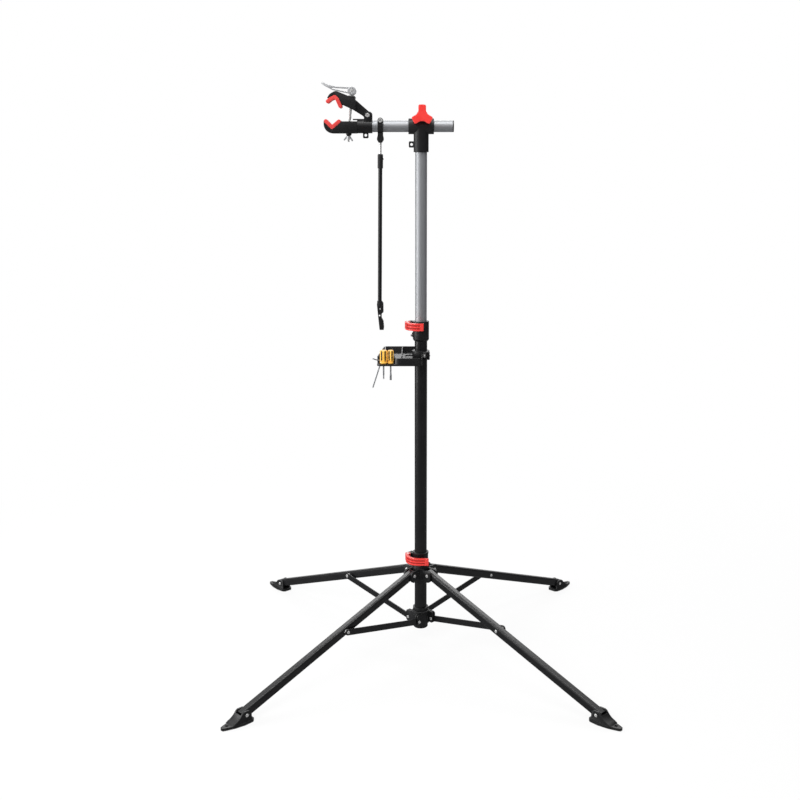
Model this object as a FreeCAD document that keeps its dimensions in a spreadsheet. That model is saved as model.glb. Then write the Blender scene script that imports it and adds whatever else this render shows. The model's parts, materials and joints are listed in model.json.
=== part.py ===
import FreeCAD, Part
import math
import operator
import os

import Sketcher
from FreeCAD import Placement, Rotation, Vector

# Bicycle repair stand: four folding legs, a telescoping mast, a clamp on a round arm,
# a hanging handlebar rod and a tool tray. Millimetres, +Z up. The origin is on the floor
# under the mast, +X points right in the front view and +Y away from the viewer.

DRIVING_SIZES = {
    # mast tubes
    "lower_tube_radius": 19.0,
    "lower_tube_wall": 1.2,
    "lower_tube_top": 1046.0,
    "upper_tube_radius": 17.5,
    "upper_tube_wall": 1.2,
    "upper_tube_bottom": 700.0,
    "press_clearance": 0.02,
    "pin_clearance": 0.05,
    "slide_clearance": 0.3,
    "guide_clearance": 0.08,
    "seat_gap": 0.3,
    # glide plug inside the lower tube
    "glide_flange_height": 16.0,
    "glide_spigot_height": 24.0,
    # folding base: pivots given by radius from the mast axis and height
    "hub_pivot_radius": 45.0,
    "hub_pivot_height": 255.0,
    "lower_pivot_radius": 31.5,
    "lower_pivot_height": 100.0,
    "foot_pivot_radius": 700.0,
    "foot_pivot_height": 25.0,
    "brace_station": 298.5,
    "leg_width": 23.0,
    "leg_height": 26.0,
    "leg_wall": 1.4,
    "leg_corner": 6.0,
    "leg_past_hub_pivot": 10.0,
    "leg_past_foot_pivot": 10.0,
    "brace_plane": 20.0,
    "brace_width": 19.0,
    "brace_thickness": 3.0,
    "rivet_radius": 3.0,
    "rivet_head_radius": 5.0,
    "rivet_head_height": 2.2,
    "rivet_shoulder_radius": 6.5,
    "hub_lug_thickness": 6.2,
    "lower_lug_thickness": 3.8,
    # lower hub
    "lower_hub_drop": 30.0,
    "lower_hub_floor": 6.0,
    "lower_hub_radius": 22.8,
    "lower_hub_core_radius": 27.0,
    "lower_hub_core_drop": 14.0,
    "lower_hub_core_rise": 26.0,
    "lower_hub_ring_radius": 24.2,
    "lower_hub_ring_rise": 28.0,
    "lower_hub_rise": 39.0,
    "lower_lug_reach": 8.0,
    "lower_lug_drop": 13.0,
    "lower_lug_rise": 24.0,
    "lower_lug_round": 7.0,
    # sliding hub
    "slide_hub_core_radius": 27.0,
    "slide_hub_drop": 19.0,
    "slide_hub_shoulder_rise": 27.0,
    "slide_hub_neck_rise": 34.0,
    "slide_hub_collar_radius": 23.6,
    "slide_hub_rise": 67.0,
    "slide_hub_lip": 1.0,
    "slide_hub_lip_height": 6.0,
    "hub_lug_reach": 13.0,
    "hub_lug_drop": 21.0,
    "hub_lug_rise": 15.0,
    "hub_lug_round": 11.0,
    # clamp ears, bolts and quick-release levers, alike on both rings
    "clamp_angle": 138.0,
    "clamp_slit": 3.0,
    "ear_thickness": 6.5,
    "ear_reach": 46.0,
    "bolt_reach": 39.0,
    "clamp_bolt_radius": 2.5,
    "barrel_radius": 4.0,
    "lever_height": 22.0,
    "lever_thickness": 9.0,
    "lever_cam_radius": 8.5,
    "lever_groove_depth": 2.4,
    "lever_groove_height": 4.4,
    "lever_end_band": 12.0,
    "lever_centre_x": 5.0,
    "hub_lever_rise": 34.0,
    "hub_lever_arc": 111.0,
    "hub_lever_tip": 30.0,
    "collar_lever_drop": 18.0,
    "collar_lever_arc": 114.0,
    "collar_lever_tip": 11.0,
    # mast collar
    "collar_drop": 53.0,
    "collar_chamfer": 4.5,
    "collar_rise": 7.0,
    "collar_radius": 24.3,
    "collar_foot_radius": 20.8,
    "guide_screw_drop": 35.0,
    "guide_screw_boss_radius": 7.5,
    "guide_screw_boss_reach": 26.5,
    "guide_screw_radius": 3.0,
    "guide_screw_head_radius": 5.2,
    "guide_screw_head_height": 4.5,
    # feet, measured from the foot pivot
    "foot_heel": 26.0,
    "foot_toe": 75.0,
    "foot_half_width": 22.0,
    "foot_nose_half_width": 5.5,
    "foot_sole_thickness": 8.0,
    "foot_wall": 5.0,
    "foot_ear_top": 12.0,
    "foot_front_wall": 18.0,
    "anchor_hole_radius": 2.75,
    "anchor_seat_radius": 5.5,
    "anchor_station": 57.0,
    # tee on top of the upper tube
    "tee_drop": 73.5,
    "tee_socket_depth": 42.0,
    "tee_socket_radius": 22.0,
    "arm_height": 1623.5,
    "tee_sleeve_radius": 22.4,
    "tee_sleeve_half_length": 37.0,
    "tee_tab_height": 18.0,
    "tee_tab_reach": 36.0,
    "tee_tab_drop": 51.5,
    "tee_tab_thickness": 5.0,
    "tab_hole_radius": 3.9,
    # knob that closes the tee
    "knob_x": 2.7,
    "knob_height": 29.6,
    "knob_ear_radius": 12.0,
    "knob_ear_thickness": 9.0,
    "knob_slit": 3.0,
    "knob_stud_radius": 4.0,
    "knob_lobe_reach": 30.5,
    "knob_lobe_width": 22.0,
    "knob_core_radius": 16.0,
    "knob_thickness": 18.0,
    "knob_boss_radius": 9.0,
    "knob_boss_height": 13.0,
    # arm
    "arm_radius": 16.5,
    "arm_wall": 1.5,
    "arm_right_end": 91.5,
    "arm_left_end": 183.0,
    "arm_cap_flange": 3.5,
    "arm_cap_plug": 10.0,
    # clamp head; distances along the arm are negative x, heights are from the arm axis
    "head_sleeve_radius": 19.8,
    "head_sleeve_right": 142.0,
    "head_sleeve_left": 186.0,
    "head_width": 42.0,
    "head_bottom": 20.3,
    "head_top": 13.6,
    "jaw_hinge_x": 155.2,
    "jaw_hinge_height": 31.4,
    "jaw_hinge_radius": 4.0,
    "jaw_knuckle_radius": 8.5,
    "jaw_arm_width": 19.4,
    "jaw_wide_right": 189.0,
    "hinge_ear_thickness": 6.0,
    "hinge_bolt_head_radius": 6.0,
    "hinge_bolt_head_height": 3.0,
    "pad_thickness": 10.5,
    "pad_width": 44.0,
    "head_tab_x": 161.3,
    "head_tab_drop": 25.4,
    "head_tab_width": 16.0,
    "head_tab_reach": 34.0,
    "head_tab_thickness": 5.0,
    # skewer, cam lever and wing nut
    "skewer_lean": 5.1,
    "skewer_pivot_x": 199.9,
    "skewer_pivot_height": 99.9,
    "skewer_radius": 4.0,
    "skewer_length": 144.5,
    "skewer_slot_width": 9.6,
    "skewer_barrel_radius": 5.0,
    "cam_radius": 12.2,
    "cam_offset": 1.2,
    "cam_width": 22.0,
    "cam_slot": 9.4,
    "cam_lever_width": 16.0,
    "cam_washer_radius": 9.5,
    "cam_washer_hole": 7.0,
    "cam_washer_thickness": 1.8,
    "dome_radius": 8.5,
    "dome_seat_clearance": 1.2,
    "wing_nut_radius": 6.0,
    "wing_nut_height": 8.0,
    "wing_span": 15.0,
    "wing_drop": 14.0,
    "wing_thickness": 3.4,
    # handlebar rod, hanging from the arm
    "strap_x": 118.4,
    "rod_lean": 0.6,
    "strap_width": 15.8,
    "strap_thickness": 3.0,
    "strap_tab_top": 24.0,
    "strap_tab_thickness": 4.0,
    "strap_shoulder_half_width": 9.8,
    "strap_bottom": 46.5,
    "strap_block_depth": 14.0,
    "eyelet_height": 16.5,
    "eyelet_radius": 6.2,
    "eyelet_barrel_radius": 3.6,
    "eyelet_hole_radius": 2.2,
    "eyelet_flange": 1.6,
    "rod_inner_radius": 3.5,
    "rod_inner_grip": 20.0,
    "rod_inner_stop": 183.5,
    "lock_sleeve_top": 79.0,
    "lock_sleeve_bottom": 120.0,
    "lock_sleeve_radius": 8.0,
    "rod_tube_radius": 6.0,
    "rod_tube_wall": 1.3,
    "rod_tube_grip": 14.0,
    "rod_over_tray": 142.5,
    "end_strap_drop": 73.0,
    "end_strap_thickness": 13.0,
    "end_strap_socket": 14.0,
    "end_strap_hole_radius": 2.8,
    # tray and its clamp ring
    "tray_bottom": 933.5,
    "tray_floor": 5.0,
    "tray_rim": 957.0,
    "tray_wall": 2.5,
    "tray_left": 130.0,
    "tray_far_left": 114.0,
    "tray_right": 4.0,
    "tray_near": 105.0,
    "tray_far": 112.0,
    "tray_corner": 12.0,
    "shelf_right": 78.0,
    "shelf_back": 68.0,
    "divider_x": 57.5,
    "cup_x": 30.0,
    "cup_y": 46.0,
    "cup_radius": 19.0,
    "cup_depth": 3.5,
    "pocket_right": 22.0,
    "pocket_depth": 16.0,
    "pocket_top": 950.0,
    "pocket_lip_top": 940.5,
    "comb_slot_width": 4.0,
    "comb_slot_pitch": 12.0,
    "comb_slot_depth": 12.0,
    "comb_depth": 12.0,
    "tray_ring_radius": 26.0,
    "tray_ring_bottom": 939.0,
    "tray_ring_top": 963.0,
    "tray_ear_angle": -58.0,
    "tray_ear_reach": 38.0,
    "tray_ear_thickness": 6.0,
    "tray_bolt_reach": 32.0,
    "tray_bolt_radius": 2.5,
    "tray_bolt_head_radius": 5.0,
    "tray_bolt_head_height": 3.5,
    # tools in the tray
    "driver_y": 90.0,
    "driver_left_x": 111.0,
    "driver_right_x": 90.0,
    "driver_left_radius": 11.2,
    "driver_right_radius": 9.4,
    "driver_handle_top": 979.0,
    "driver_flute_radius": 3.2,
    "driver_flute_outset": 1.4,
    "driver_guard_height": 7.0,
    "driver_shaft_radius": 2.4,
    "driver_shaft_grip": 30.0,
    "driver_left_tip": 892.5,
    "driver_right_tip": 889.0,
    "driver_blade_width": 6.0,
    "driver_blade_thickness": 1.6,
    "driver_blade_length": 12.0,
    "hex_key_x": 120.5,
    "hex_key_y": 75.0,
    "hex_key_radius": 2.0,
    "hex_key_lean": 17.8,
    "hex_key_long_arm": 84.0,
    "hex_key_short_arm": 27.0,
    "hex_key_bend": 4.0,
    "hex_key_rise": 4.6,
    "hex_hole_radius": 3.25,
}

LEG_ANGLES = {"front_left": 225.0, "front_right": 315.0, "back_left": 135.0, "back_right": 45.0}
LOBE_ANGLES = (90.0, 210.0, 330.0)

doc = FreeCAD.newDocument("repair_stand")
finished = []


class Size:
    """A number together with the sheet expression that it comes from."""

    def __init__(self, value, text):
        self.value = value
        self.text = text

    def __add__(self, other):
        return combined(self, "+", other, operator.add)

    def __radd__(self, other):
        return combined(other, "+", self, operator.add)

    def __sub__(self, other):
        return combined(self, "-", other, operator.sub)

    def __rsub__(self, other):
        return combined(other, "-", self, operator.sub)

    def __mul__(self, other):
        return combined(self, "*", other, operator.mul)

    def __rmul__(self, other):
        return combined(other, "*", self, operator.mul)

    def __truediv__(self, other):
        return combined(self, "/", other, operator.truediv)

    def __neg__(self):
        return combined(0.0, "-", self, operator.sub)


def number(size):
    return size.value if isinstance(size, Size) else float(size)


def words(size):
    return size.text if isinstance(size, Size) else "(%.9g)" % size


def combined(left, sign, right, rule):
    return Size(rule(number(left), number(right)), "(%s %s %s)" % (words(left), sign, words(right)))


def cosine(angle):
    return Size(math.cos(math.radians(number(angle))), "cos(%s)" % words(angle))


def sine(angle):
    return Size(math.sin(math.radians(number(angle))), "sin(%s)" % words(angle))


def slope(rise, run):
    return Size(
        math.degrees(math.atan2(number(rise), number(run))),
        "(atan2(%s; %s) / 1 deg)" % (words(rise), words(run)),
    )


def distance(rise, run):
    return Size(
        math.hypot(number(rise), number(run)),
        "sqrt((%s)^2 + (%s)^2)" % (words(rise), words(run)),
    )


def make_sheet():
    """Writes the driving sizes to the document's spreadsheet and returns them by name."""
    sheet = doc.addObject("Spreadsheet::Sheet", "Sizes")
    named = {}
    for row, (alias, value) in enumerate(DRIVING_SIZES.items(), start=1):
        sheet.set("A%d" % row, alias)
        sheet.set("B%d" % row, repr(value))
        sheet.setAlias("B%d" % row, alias)
        named[alias] = Size(value, "Sizes." + alias)
    doc.recompute()
    return named


class Named:
    """Gives the sheet's sizes as attributes."""

    def __init__(self, named):
        self.__dict__.update(named)


s = Named(make_sheet())


def bind(item, name, size):
    """Sets a property to a size's number and ties it to the sheet."""
    setattr(item, name, number(size))
    if isinstance(size, Size):
        item.setExpression(name, size.text)


def place(item, x=0.0, y=0.0, z=0.0, yaw=0.0, pitch=0.0):
    """Places a finished piece: turned about its own Y, then about Z, then moved."""
    base = Vector(number(x), number(y), number(z))
    item.Placement = Placement(base, Rotation(number(yaw), number(pitch), 0.0))
    for name, size in (("x", x), ("y", y), ("z", z)):
        if isinstance(size, Size):
            item.setExpression("Placement.Base." + name, size.text)


def new_body(label):
    body = doc.addObject("PartDesign::Body", label)
    body.Label = label
    finished.append(body)
    return body


def new_feature(label, shape, x=0.0, y=0.0, z=0.0, yaw=0.0, pitch=0.0):
    """A piece whose outline no sketch gives, such as an offset or a pipe shell."""
    feature = doc.addObject("Part::Feature", label)
    feature.Label = label
    feature.Shape = shape
    place(feature, x, y, z, yaw, pitch)
    finished.append(feature)
    return feature


def new_sketch(body, plane, level, turn=0.0):
    """A sketch on one of the body's origin planes, at a level along the plane's axis.

    The axis is +Z for XY, +Y for XZ and +X for YZ; turn swings XZ and YZ about Z."""
    sketch = body.newObject("Sketcher::SketchObject", body.Label + "_sketch")
    for plane_feature in body.Origin.OriginFeatures:
        if plane_feature.Role == plane + "_Plane":
            sketch.AttachmentSupport = (plane_feature, [""])
    sketch.MapMode = "FlatFace"
    out = -level if plane == "XZ" else level
    spin = Rotation(Vector(0, 1, 0), number(turn))
    along_x = out * sine(turn)
    along_z = out * cosine(turn)
    sketch.AttachmentOffset = Placement(Vector(number(along_x), 0, number(along_z)), spin)
    sketch.setExpression("AttachmentOffset.Base.x", words(along_x))
    sketch.setExpression("AttachmentOffset.Base.z", words(along_z))
    return sketch


def fix_point(sketch, geometry, place_code, x, y):
    for kind, size in (("DistanceX", x), ("DistanceY", y)):
        rule = Sketcher.Constraint(kind, -1, 1, geometry, place_code, number(size))
        index = sketch.addConstraint(rule)
        if isinstance(size, Size):
            sketch.setExpression("Constraints[%d]" % index, size.text)


def add_polygon(sketch, points):
    first = sketch.GeometryCount
    corners = [Vector(number(x), number(y), 0) for x, y in points]
    count = len(corners)
    for i in range(count):
        sketch.addGeometry(Part.LineSegment(corners[i], corners[(i + 1) % count]), False)
    for i in range(count):
        following = first + (i + 1) % count
        sketch.addConstraint(Sketcher.Constraint("Coincident", first + i, 2, following, 1))
    for i, (x, y) in enumerate(points):
        fix_point(sketch, first + i, 1, x, y)


def add_circle(sketch, x, y, radius):
    centre = Vector(number(x), number(y), 0)
    circle = Part.Circle(centre, Vector(0, 0, 1), number(radius))
    geometry = sketch.addGeometry(circle, False)
    fix_point(sketch, geometry, 3, x, y)
    index = sketch.addConstraint(Sketcher.Constraint("Radius", geometry, number(radius)))
    if isinstance(radius, Size):
        sketch.setExpression("Constraints[%d]" % index, radius.text)


def fill_sketch(sketch, outlines):
    """An outline is a list of corners, or a circle as (x, y, radius)."""
    for outline in outlines:
        if isinstance(outline, list):
            add_polygon(sketch, outline)
        else:
            add_circle(sketch, *outline)


def slab(body, plane, start, end, *outlines, turn=0.0):
    """Adds material between two levels along the plane's axis."""
    sketch = new_sketch(body, plane, start, turn)
    fill_sketch(sketch, outlines)
    pad = body.newObject("PartDesign::Pad", body.Label + "_pad")
    pad.Profile = sketch
    bind(pad, "Length", end - start)
    pad.Reversed = plane == "XZ"
    return pad


def cut(body, plane, start, end, *outlines, turn=0.0):
    """Takes material away between two levels along the plane's axis."""
    sketch = new_sketch(body, plane, start, turn)
    fill_sketch(sketch, outlines)
    pocket = body.newObject("PartDesign::Pocket", body.Label + "_pocket")
    pocket.Profile = sketch
    bind(pocket, "Length", end - start)
    pocket.Reversed = plane != "XZ"
    return pocket


def turned(body, points, angle=360.0, start=0.0):
    """Revolves a profile of (radius, height) corners about the body's Z axis."""
    sketch = new_sketch(body, "XZ", 0.0, start)
    add_polygon(sketch, points)
    revolution = body.newObject("PartDesign::Revolution", body.Label + "_turned")
    revolution.Profile = sketch
    revolution.ReferenceAxis = (sketch, ["V_Axis"])
    bind(revolution, "Angle", angle)
    return revolution


def tube(body, radius, wall, bottom, top):
    inner = radius - wall
    turned(body, [(inner, bottom), (radius, bottom), (radius, top), (inner, top)])


def along(edge, axis):
    """True for a straight edge that runs along the given axis."""
    if edge.Curve.TypeId != "Part::GeomLine":
        return False
    return abs(abs(edge.Curve.Direction.dot(axis)) - 1.0) < 1e-6


def fillet(body, radius, picks):
    """Rounds the edges of the body's last feature that the picks function chooses."""
    doc.recompute()
    base = body.Tip
    edges = base.Shape.Edges
    names = ["Edge%d" % (i + 1) for i, edge in enumerate(edges) if picks(edge)]
    rounding = body.newObject("PartDesign::Fillet", body.Label + "_round")
    rounding.Base = (base, names)
    bind(rounding, "Radius", radius)
    return rounding


def polar(radius, angle):
    return radius * cosine(angle), radius * sine(angle)


def clamp_point(reach, side):
    """A point of a clamp ring's plan: reach along the ears, side across them."""
    x = reach * cosine(s.clamp_angle) - side * sine(s.clamp_angle)
    y = reach * sine(s.clamp_angle) + side * cosine(s.clamp_angle)
    return x, y


# Plan and side outlines for pieces that are not sketched


def flat(points):
    """Corners (x, z) as vectors in the XZ plane."""
    return [Vector(number(x), 0, number(z)) for x, z in points]


def rounded_face(points, radii):
    """A face in the XZ plane whose corners are rounded by tangent arcs."""
    corners = flat(points)
    count = len(corners)
    starts = []
    ends = []
    arcs = []
    for i in range(count):
        corner = corners[i]
        radius = number(radii[i])
        back = (corners[i - 1] - corner).normalize()
        ahead = (corners[(i + 1) % count] - corner).normalize()
        if radius == 0.0:
            starts.append(corner)
            ends.append(corner)
            arcs.append(None)
            continue
        half = back.getAngle(ahead) / 2.0
        reach = radius / math.tan(half)
        middle = (back + ahead).normalize() * (radius / math.sin(half) - radius)
        starts.append(corner + back * reach)
        ends.append(corner + ahead * reach)
        arcs.append(Part.Arc(starts[i], corner + middle, ends[i]).toShape())
    edges = []
    for i in range(count):
        if arcs[i] is not None:
            edges.append(arcs[i])
        following = starts[(i + 1) % count]
        if (following - ends[i]).Length > 1e-6:
            edges.append(Part.LineSegment(ends[i], following).toShape())
    return Part.Face(Part.Wire(edges))


def across(face, width):
    """Extrudes a face of the XZ plane evenly to both sides."""
    half = number(width) / 2.0
    low = face.translated(Vector(0, -half, 0))
    return low.extrude(Vector(0, 2.0 * half, 0))


def thick_line(points, thickness):
    """A bar of even thickness with round ends along a line in the XZ plane."""
    wire = Part.makePolygon(flat(points))
    return Part.Face(wire.makeOffset2D(number(thickness) / 2.0, join=0, fill=False))


def pin_across(x, z, radius, start, end):
    """A round bar along Y."""
    base = Vector(number(x), number(start), number(z))
    return Part.makeCylinder(number(radius), number(end) - number(start), base, Vector(0, 1, 0))


# Base linkage, worked out from the pivots

leg_run = s.foot_pivot_radius - s.hub_pivot_radius
leg_fall = s.hub_pivot_height - s.foot_pivot_height
leg_slope = slope(leg_fall, leg_run)
leg_length = distance(leg_fall, leg_run)
brace_pivot_radius = s.hub_pivot_radius + s.brace_station * cosine(leg_slope)
brace_pivot_height = s.hub_pivot_height - s.brace_station * sine(leg_slope)
brace_run = brace_pivot_radius - s.lower_pivot_radius
brace_rise = brace_pivot_height - s.lower_pivot_height
brace_slope = slope(brace_rise, brace_run)
brace_length = distance(brace_rise, brace_run)
leg_side = s.leg_width / 2
brace_inner = s.brace_plane - s.brace_thickness / 2
brace_outer = s.brace_plane + s.brace_thickness / 2
hub_ear_inner = leg_side + s.seat_gap
hub_ear_outer = hub_ear_inner + s.hub_lug_thickness
lower_ear_inner = brace_inner - s.seat_gap
lower_ear_outer = brace_outer + s.seat_gap
rivet_hole = s.rivet_radius + s.pin_clearance

# Heights of the hubs, collar, levers and tee, each from what carries it

lower_hub_bottom = s.lower_pivot_height - s.lower_hub_drop
lower_hub_core_bottom = s.lower_pivot_height - s.lower_hub_core_drop
lower_hub_core_top = s.lower_pivot_height + s.lower_hub_core_rise
lower_hub_ring_bottom = s.lower_pivot_height + s.lower_hub_ring_rise
lower_hub_top = s.lower_pivot_height + s.lower_hub_rise
slide_hub_bottom = s.hub_pivot_height - s.slide_hub_drop
slide_hub_shoulder = s.hub_pivot_height + s.slide_hub_shoulder_rise
slide_hub_neck = s.hub_pivot_height + s.slide_hub_neck_rise
slide_hub_top = s.hub_pivot_height + s.slide_hub_rise
hub_lever_bottom = s.hub_pivot_height + s.hub_lever_rise
collar_bottom = s.lower_tube_top - s.collar_drop
collar_chamfer_top = collar_bottom + s.collar_chamfer
collar_top = s.lower_tube_top + s.collar_rise
collar_lever_bottom = s.lower_tube_top - s.collar_lever_drop
guide_screw_height = s.lower_tube_top - s.guide_screw_drop
tee_bottom = s.arm_height - s.tee_drop
tee_tab_level = s.arm_height - s.tee_tab_drop
rod_tube_bottom = s.arm_height - s.tray_rim - s.rod_over_tray


def rivet(centre_radius, height, start, end):
    """One rivet along Y at a pivot of the local frame, with a domed head at each end."""
    x = number(centre_radius)
    z = number(height)
    low = number(start)
    high = number(end)
    shank = number(s.rivet_radius)
    head = number(s.rivet_head_radius)
    rise = number(s.rivet_head_height)
    rim = rise * 0.45
    outline = [
        Vector(0, low - rise, 0),
        Vector(head * 0.7, low - rise, 0),
        Vector(head, low - rim, 0),
        Vector(head, low, 0),
        Vector(shank, low, 0),
        Vector(shank, high, 0),
        Vector(head, high, 0),
        Vector(head, high + rim, 0),
        Vector(head * 0.7, high + rise, 0),
        Vector(0, high + rise, 0),
    ]
    face = Part.Face(Part.makePolygon(outline + outline[:1]))
    solid = face.revolve(Vector(0, 0, 0), Vector(0, 1, 0), 360)
    solid.translate(Vector(x, 0, z))
    return solid


def at_each_leg(solid):
    """Copies a solid of the leg frame to the four legs, as one group."""
    copies = []
    for angle in LEG_ANGLES.values():
        turned_copy = solid.copy()
        turned_copy.rotate(Vector(0, 0, 0), Vector(0, 0, 1), angle)
        copies.append(turned_copy)
    return Part.makeCompound(copies)


def build_lower_tube():
    body = new_body("lower_mast_tube")
    bottom = lower_hub_bottom + s.lower_hub_floor
    tube(body, s.lower_tube_radius, s.lower_tube_wall, bottom, s.lower_tube_top)


def add_lugs(body, inner, outer, thickness, pivot, height, reach, drop, rise, rounding):
    """Adds a pair of rounded lugs to each of the four sides of a hub."""
    low = height - drop
    high = height + rise
    tip = pivot + reach
    outline = [(8.0, low), (tip, low), (tip, high), (8.0, high)]
    for angle in LEG_ANGLES.values():
        slab(body, "XZ", inner - thickness, inner, outline, turn=angle)
        slab(body, "XZ", outer, outer + thickness, outline, turn=angle)

    def tip_corner(edge):
        middle = edge.CenterOfMass
        radius = math.hypot(middle.x, middle.y)
        level = abs(edge.Vertexes[0].Z - edge.Vertexes[-1].Z) < 1e-6
        short = abs(edge.Length - number(thickness)) < 1e-6
        return level and short and radius > number(tip) - 2.0

    fillet(body, rounding, tip_corner)
    for angle in LEG_ANGLES.values():
        start = inner - thickness - 1.0
        hole = (pivot, height, s.rivet_radius + s.press_clearance)
        cut(body, "XZ", start, outer + thickness + 1.0, hole, turn=angle)


def build_lower_hub():
    body = new_body("lower_hub")
    bore = s.lower_tube_radius + s.press_clearance
    turned(
        body,
        [
            (0.0, lower_hub_bottom),
            (s.lower_hub_radius - 2.5, lower_hub_bottom),
            (s.lower_hub_radius, lower_hub_bottom + 2.5),
            (s.lower_hub_radius, lower_hub_core_bottom),
            (s.lower_hub_core_radius, lower_hub_core_bottom),
            (s.lower_hub_core_radius, lower_hub_core_top),
            (s.lower_hub_radius, lower_hub_ring_bottom),
            (s.lower_hub_ring_radius, lower_hub_ring_bottom),
            (s.lower_hub_ring_radius, lower_hub_top),
            (bore, lower_hub_top),
            (bore, lower_hub_bottom + s.lower_hub_floor),
            (0.0, lower_hub_bottom + s.lower_hub_floor),
        ],
    )
    add_lugs(
        body,
        lower_ear_inner,
        lower_ear_outer,
        s.lower_lug_thickness,
        s.lower_pivot_radius,
        s.lower_pivot_height,
        s.lower_lug_reach,
        s.lower_lug_drop,
        s.lower_lug_rise,
        s.lower_lug_round,
    )
    inside = lower_hub_bottom + s.lower_hub_floor
    cut(body, "XY", inside, lower_hub_top + 1.0, (0.0, 0.0, bore))


def build_lower_hub_rivets():
    start = lower_ear_inner - s.lower_lug_thickness
    end = lower_ear_outer + s.lower_lug_thickness
    one = rivet(s.lower_pivot_radius, s.lower_pivot_height, start, end)
    new_feature("lower_hub_rivets", at_each_leg(one))


def add_clamp_ears(body, bore, bottom, slit_bottom, top):
    """Adds the two ears of a split clamp ring, its slit and its bolt hole."""
    side = s.clamp_slit / 2 + s.ear_thickness
    outline = [
        clamp_point(bore, -side),
        clamp_point(s.ear_reach, -side),
        clamp_point(s.ear_reach, side),
        clamp_point(bore, side),
    ]
    slab(body, "XY", bottom, bottom + s.lever_height, outline)
    cut(body, "XY", slit_bottom - 1.0, top + 1.0, (0.0, 0.0, bore))
    half = s.clamp_slit / 2
    slit = [
        clamp_point(bore - 3.0, -half),
        clamp_point(s.ear_reach + 1.0, -half),
        clamp_point(s.ear_reach + 1.0, half),
        clamp_point(bore - 3.0, half),
    ]
    cut(body, "XY", slit_bottom, top + 1.0, slit)
    hole = (s.bolt_reach, bottom + s.lever_height / 2, s.clamp_bolt_radius + s.pin_clearance)
    cut(body, "XZ", -side - 1.0, side + 1.0, hole, turn=s.clamp_angle)


def build_sliding_hub():
    body = new_body("sliding_hub")
    bore = s.lower_tube_radius + s.slide_clearance
    lip_radius = s.slide_hub_collar_radius + s.slide_hub_lip
    turned(
        body,
        [
            (bore, slide_hub_bottom),
            (s.slide_hub_core_radius, slide_hub_bottom),
            (s.slide_hub_core_radius, slide_hub_shoulder),
            (s.slide_hub_collar_radius, slide_hub_neck),
            (s.slide_hub_collar_radius, slide_hub_top - s.slide_hub_lip_height),
            (lip_radius, slide_hub_top - s.slide_hub_lip_height),
            (lip_radius, slide_hub_top),
            (bore, slide_hub_top),
        ],
    )
    add_lugs(
        body,
        -hub_ear_inner,
        hub_ear_inner,
        s.hub_lug_thickness,
        s.hub_pivot_radius,
        s.hub_pivot_height,
        s.hub_lug_reach,
        s.hub_lug_drop,
        s.hub_lug_rise,
        s.hub_lug_round,
    )
    cut(body, "XY", slide_hub_bottom - 5.0, slide_hub_top + 1.0, (0.0, 0.0, bore))
    add_clamp_ears(body, bore, hub_lever_bottom, slide_hub_shoulder, slide_hub_top)


def build_sliding_hub_rivets():
    one = rivet(s.hub_pivot_radius, s.hub_pivot_height, -hub_ear_outer, hub_ear_outer)
    new_feature("sliding_hub_rivets", at_each_leg(one))


def build_clamp_bolt(label, lever_bottom):
    """T-bolt: an upright barrel in the lever's cam, and a headed shank through both ears."""
    body = new_body(label)
    middle = lever_bottom + s.lever_height / 2
    side = s.clamp_slit / 2 + s.ear_thickness
    barrel_side = side + s.lever_cam_radius + s.seat_gap
    x, y = clamp_point(s.bolt_reach, barrel_side)
    bottom = lever_bottom + s.seat_gap
    top = lever_bottom + s.lever_height - s.seat_gap
    slab(body, "XY", bottom, top, (x, y, s.barrel_radius))
    shank = (s.bolt_reach, middle, s.clamp_bolt_radius)
    head = (s.bolt_reach, middle, s.clamp_bolt_radius * 2)
    slab(body, "XZ", -side - 0.1, barrel_side, shank, turn=s.clamp_angle)
    slab(body, "XZ", -side - 4.1, -side - 0.1, head, turn=s.clamp_angle)


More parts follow.
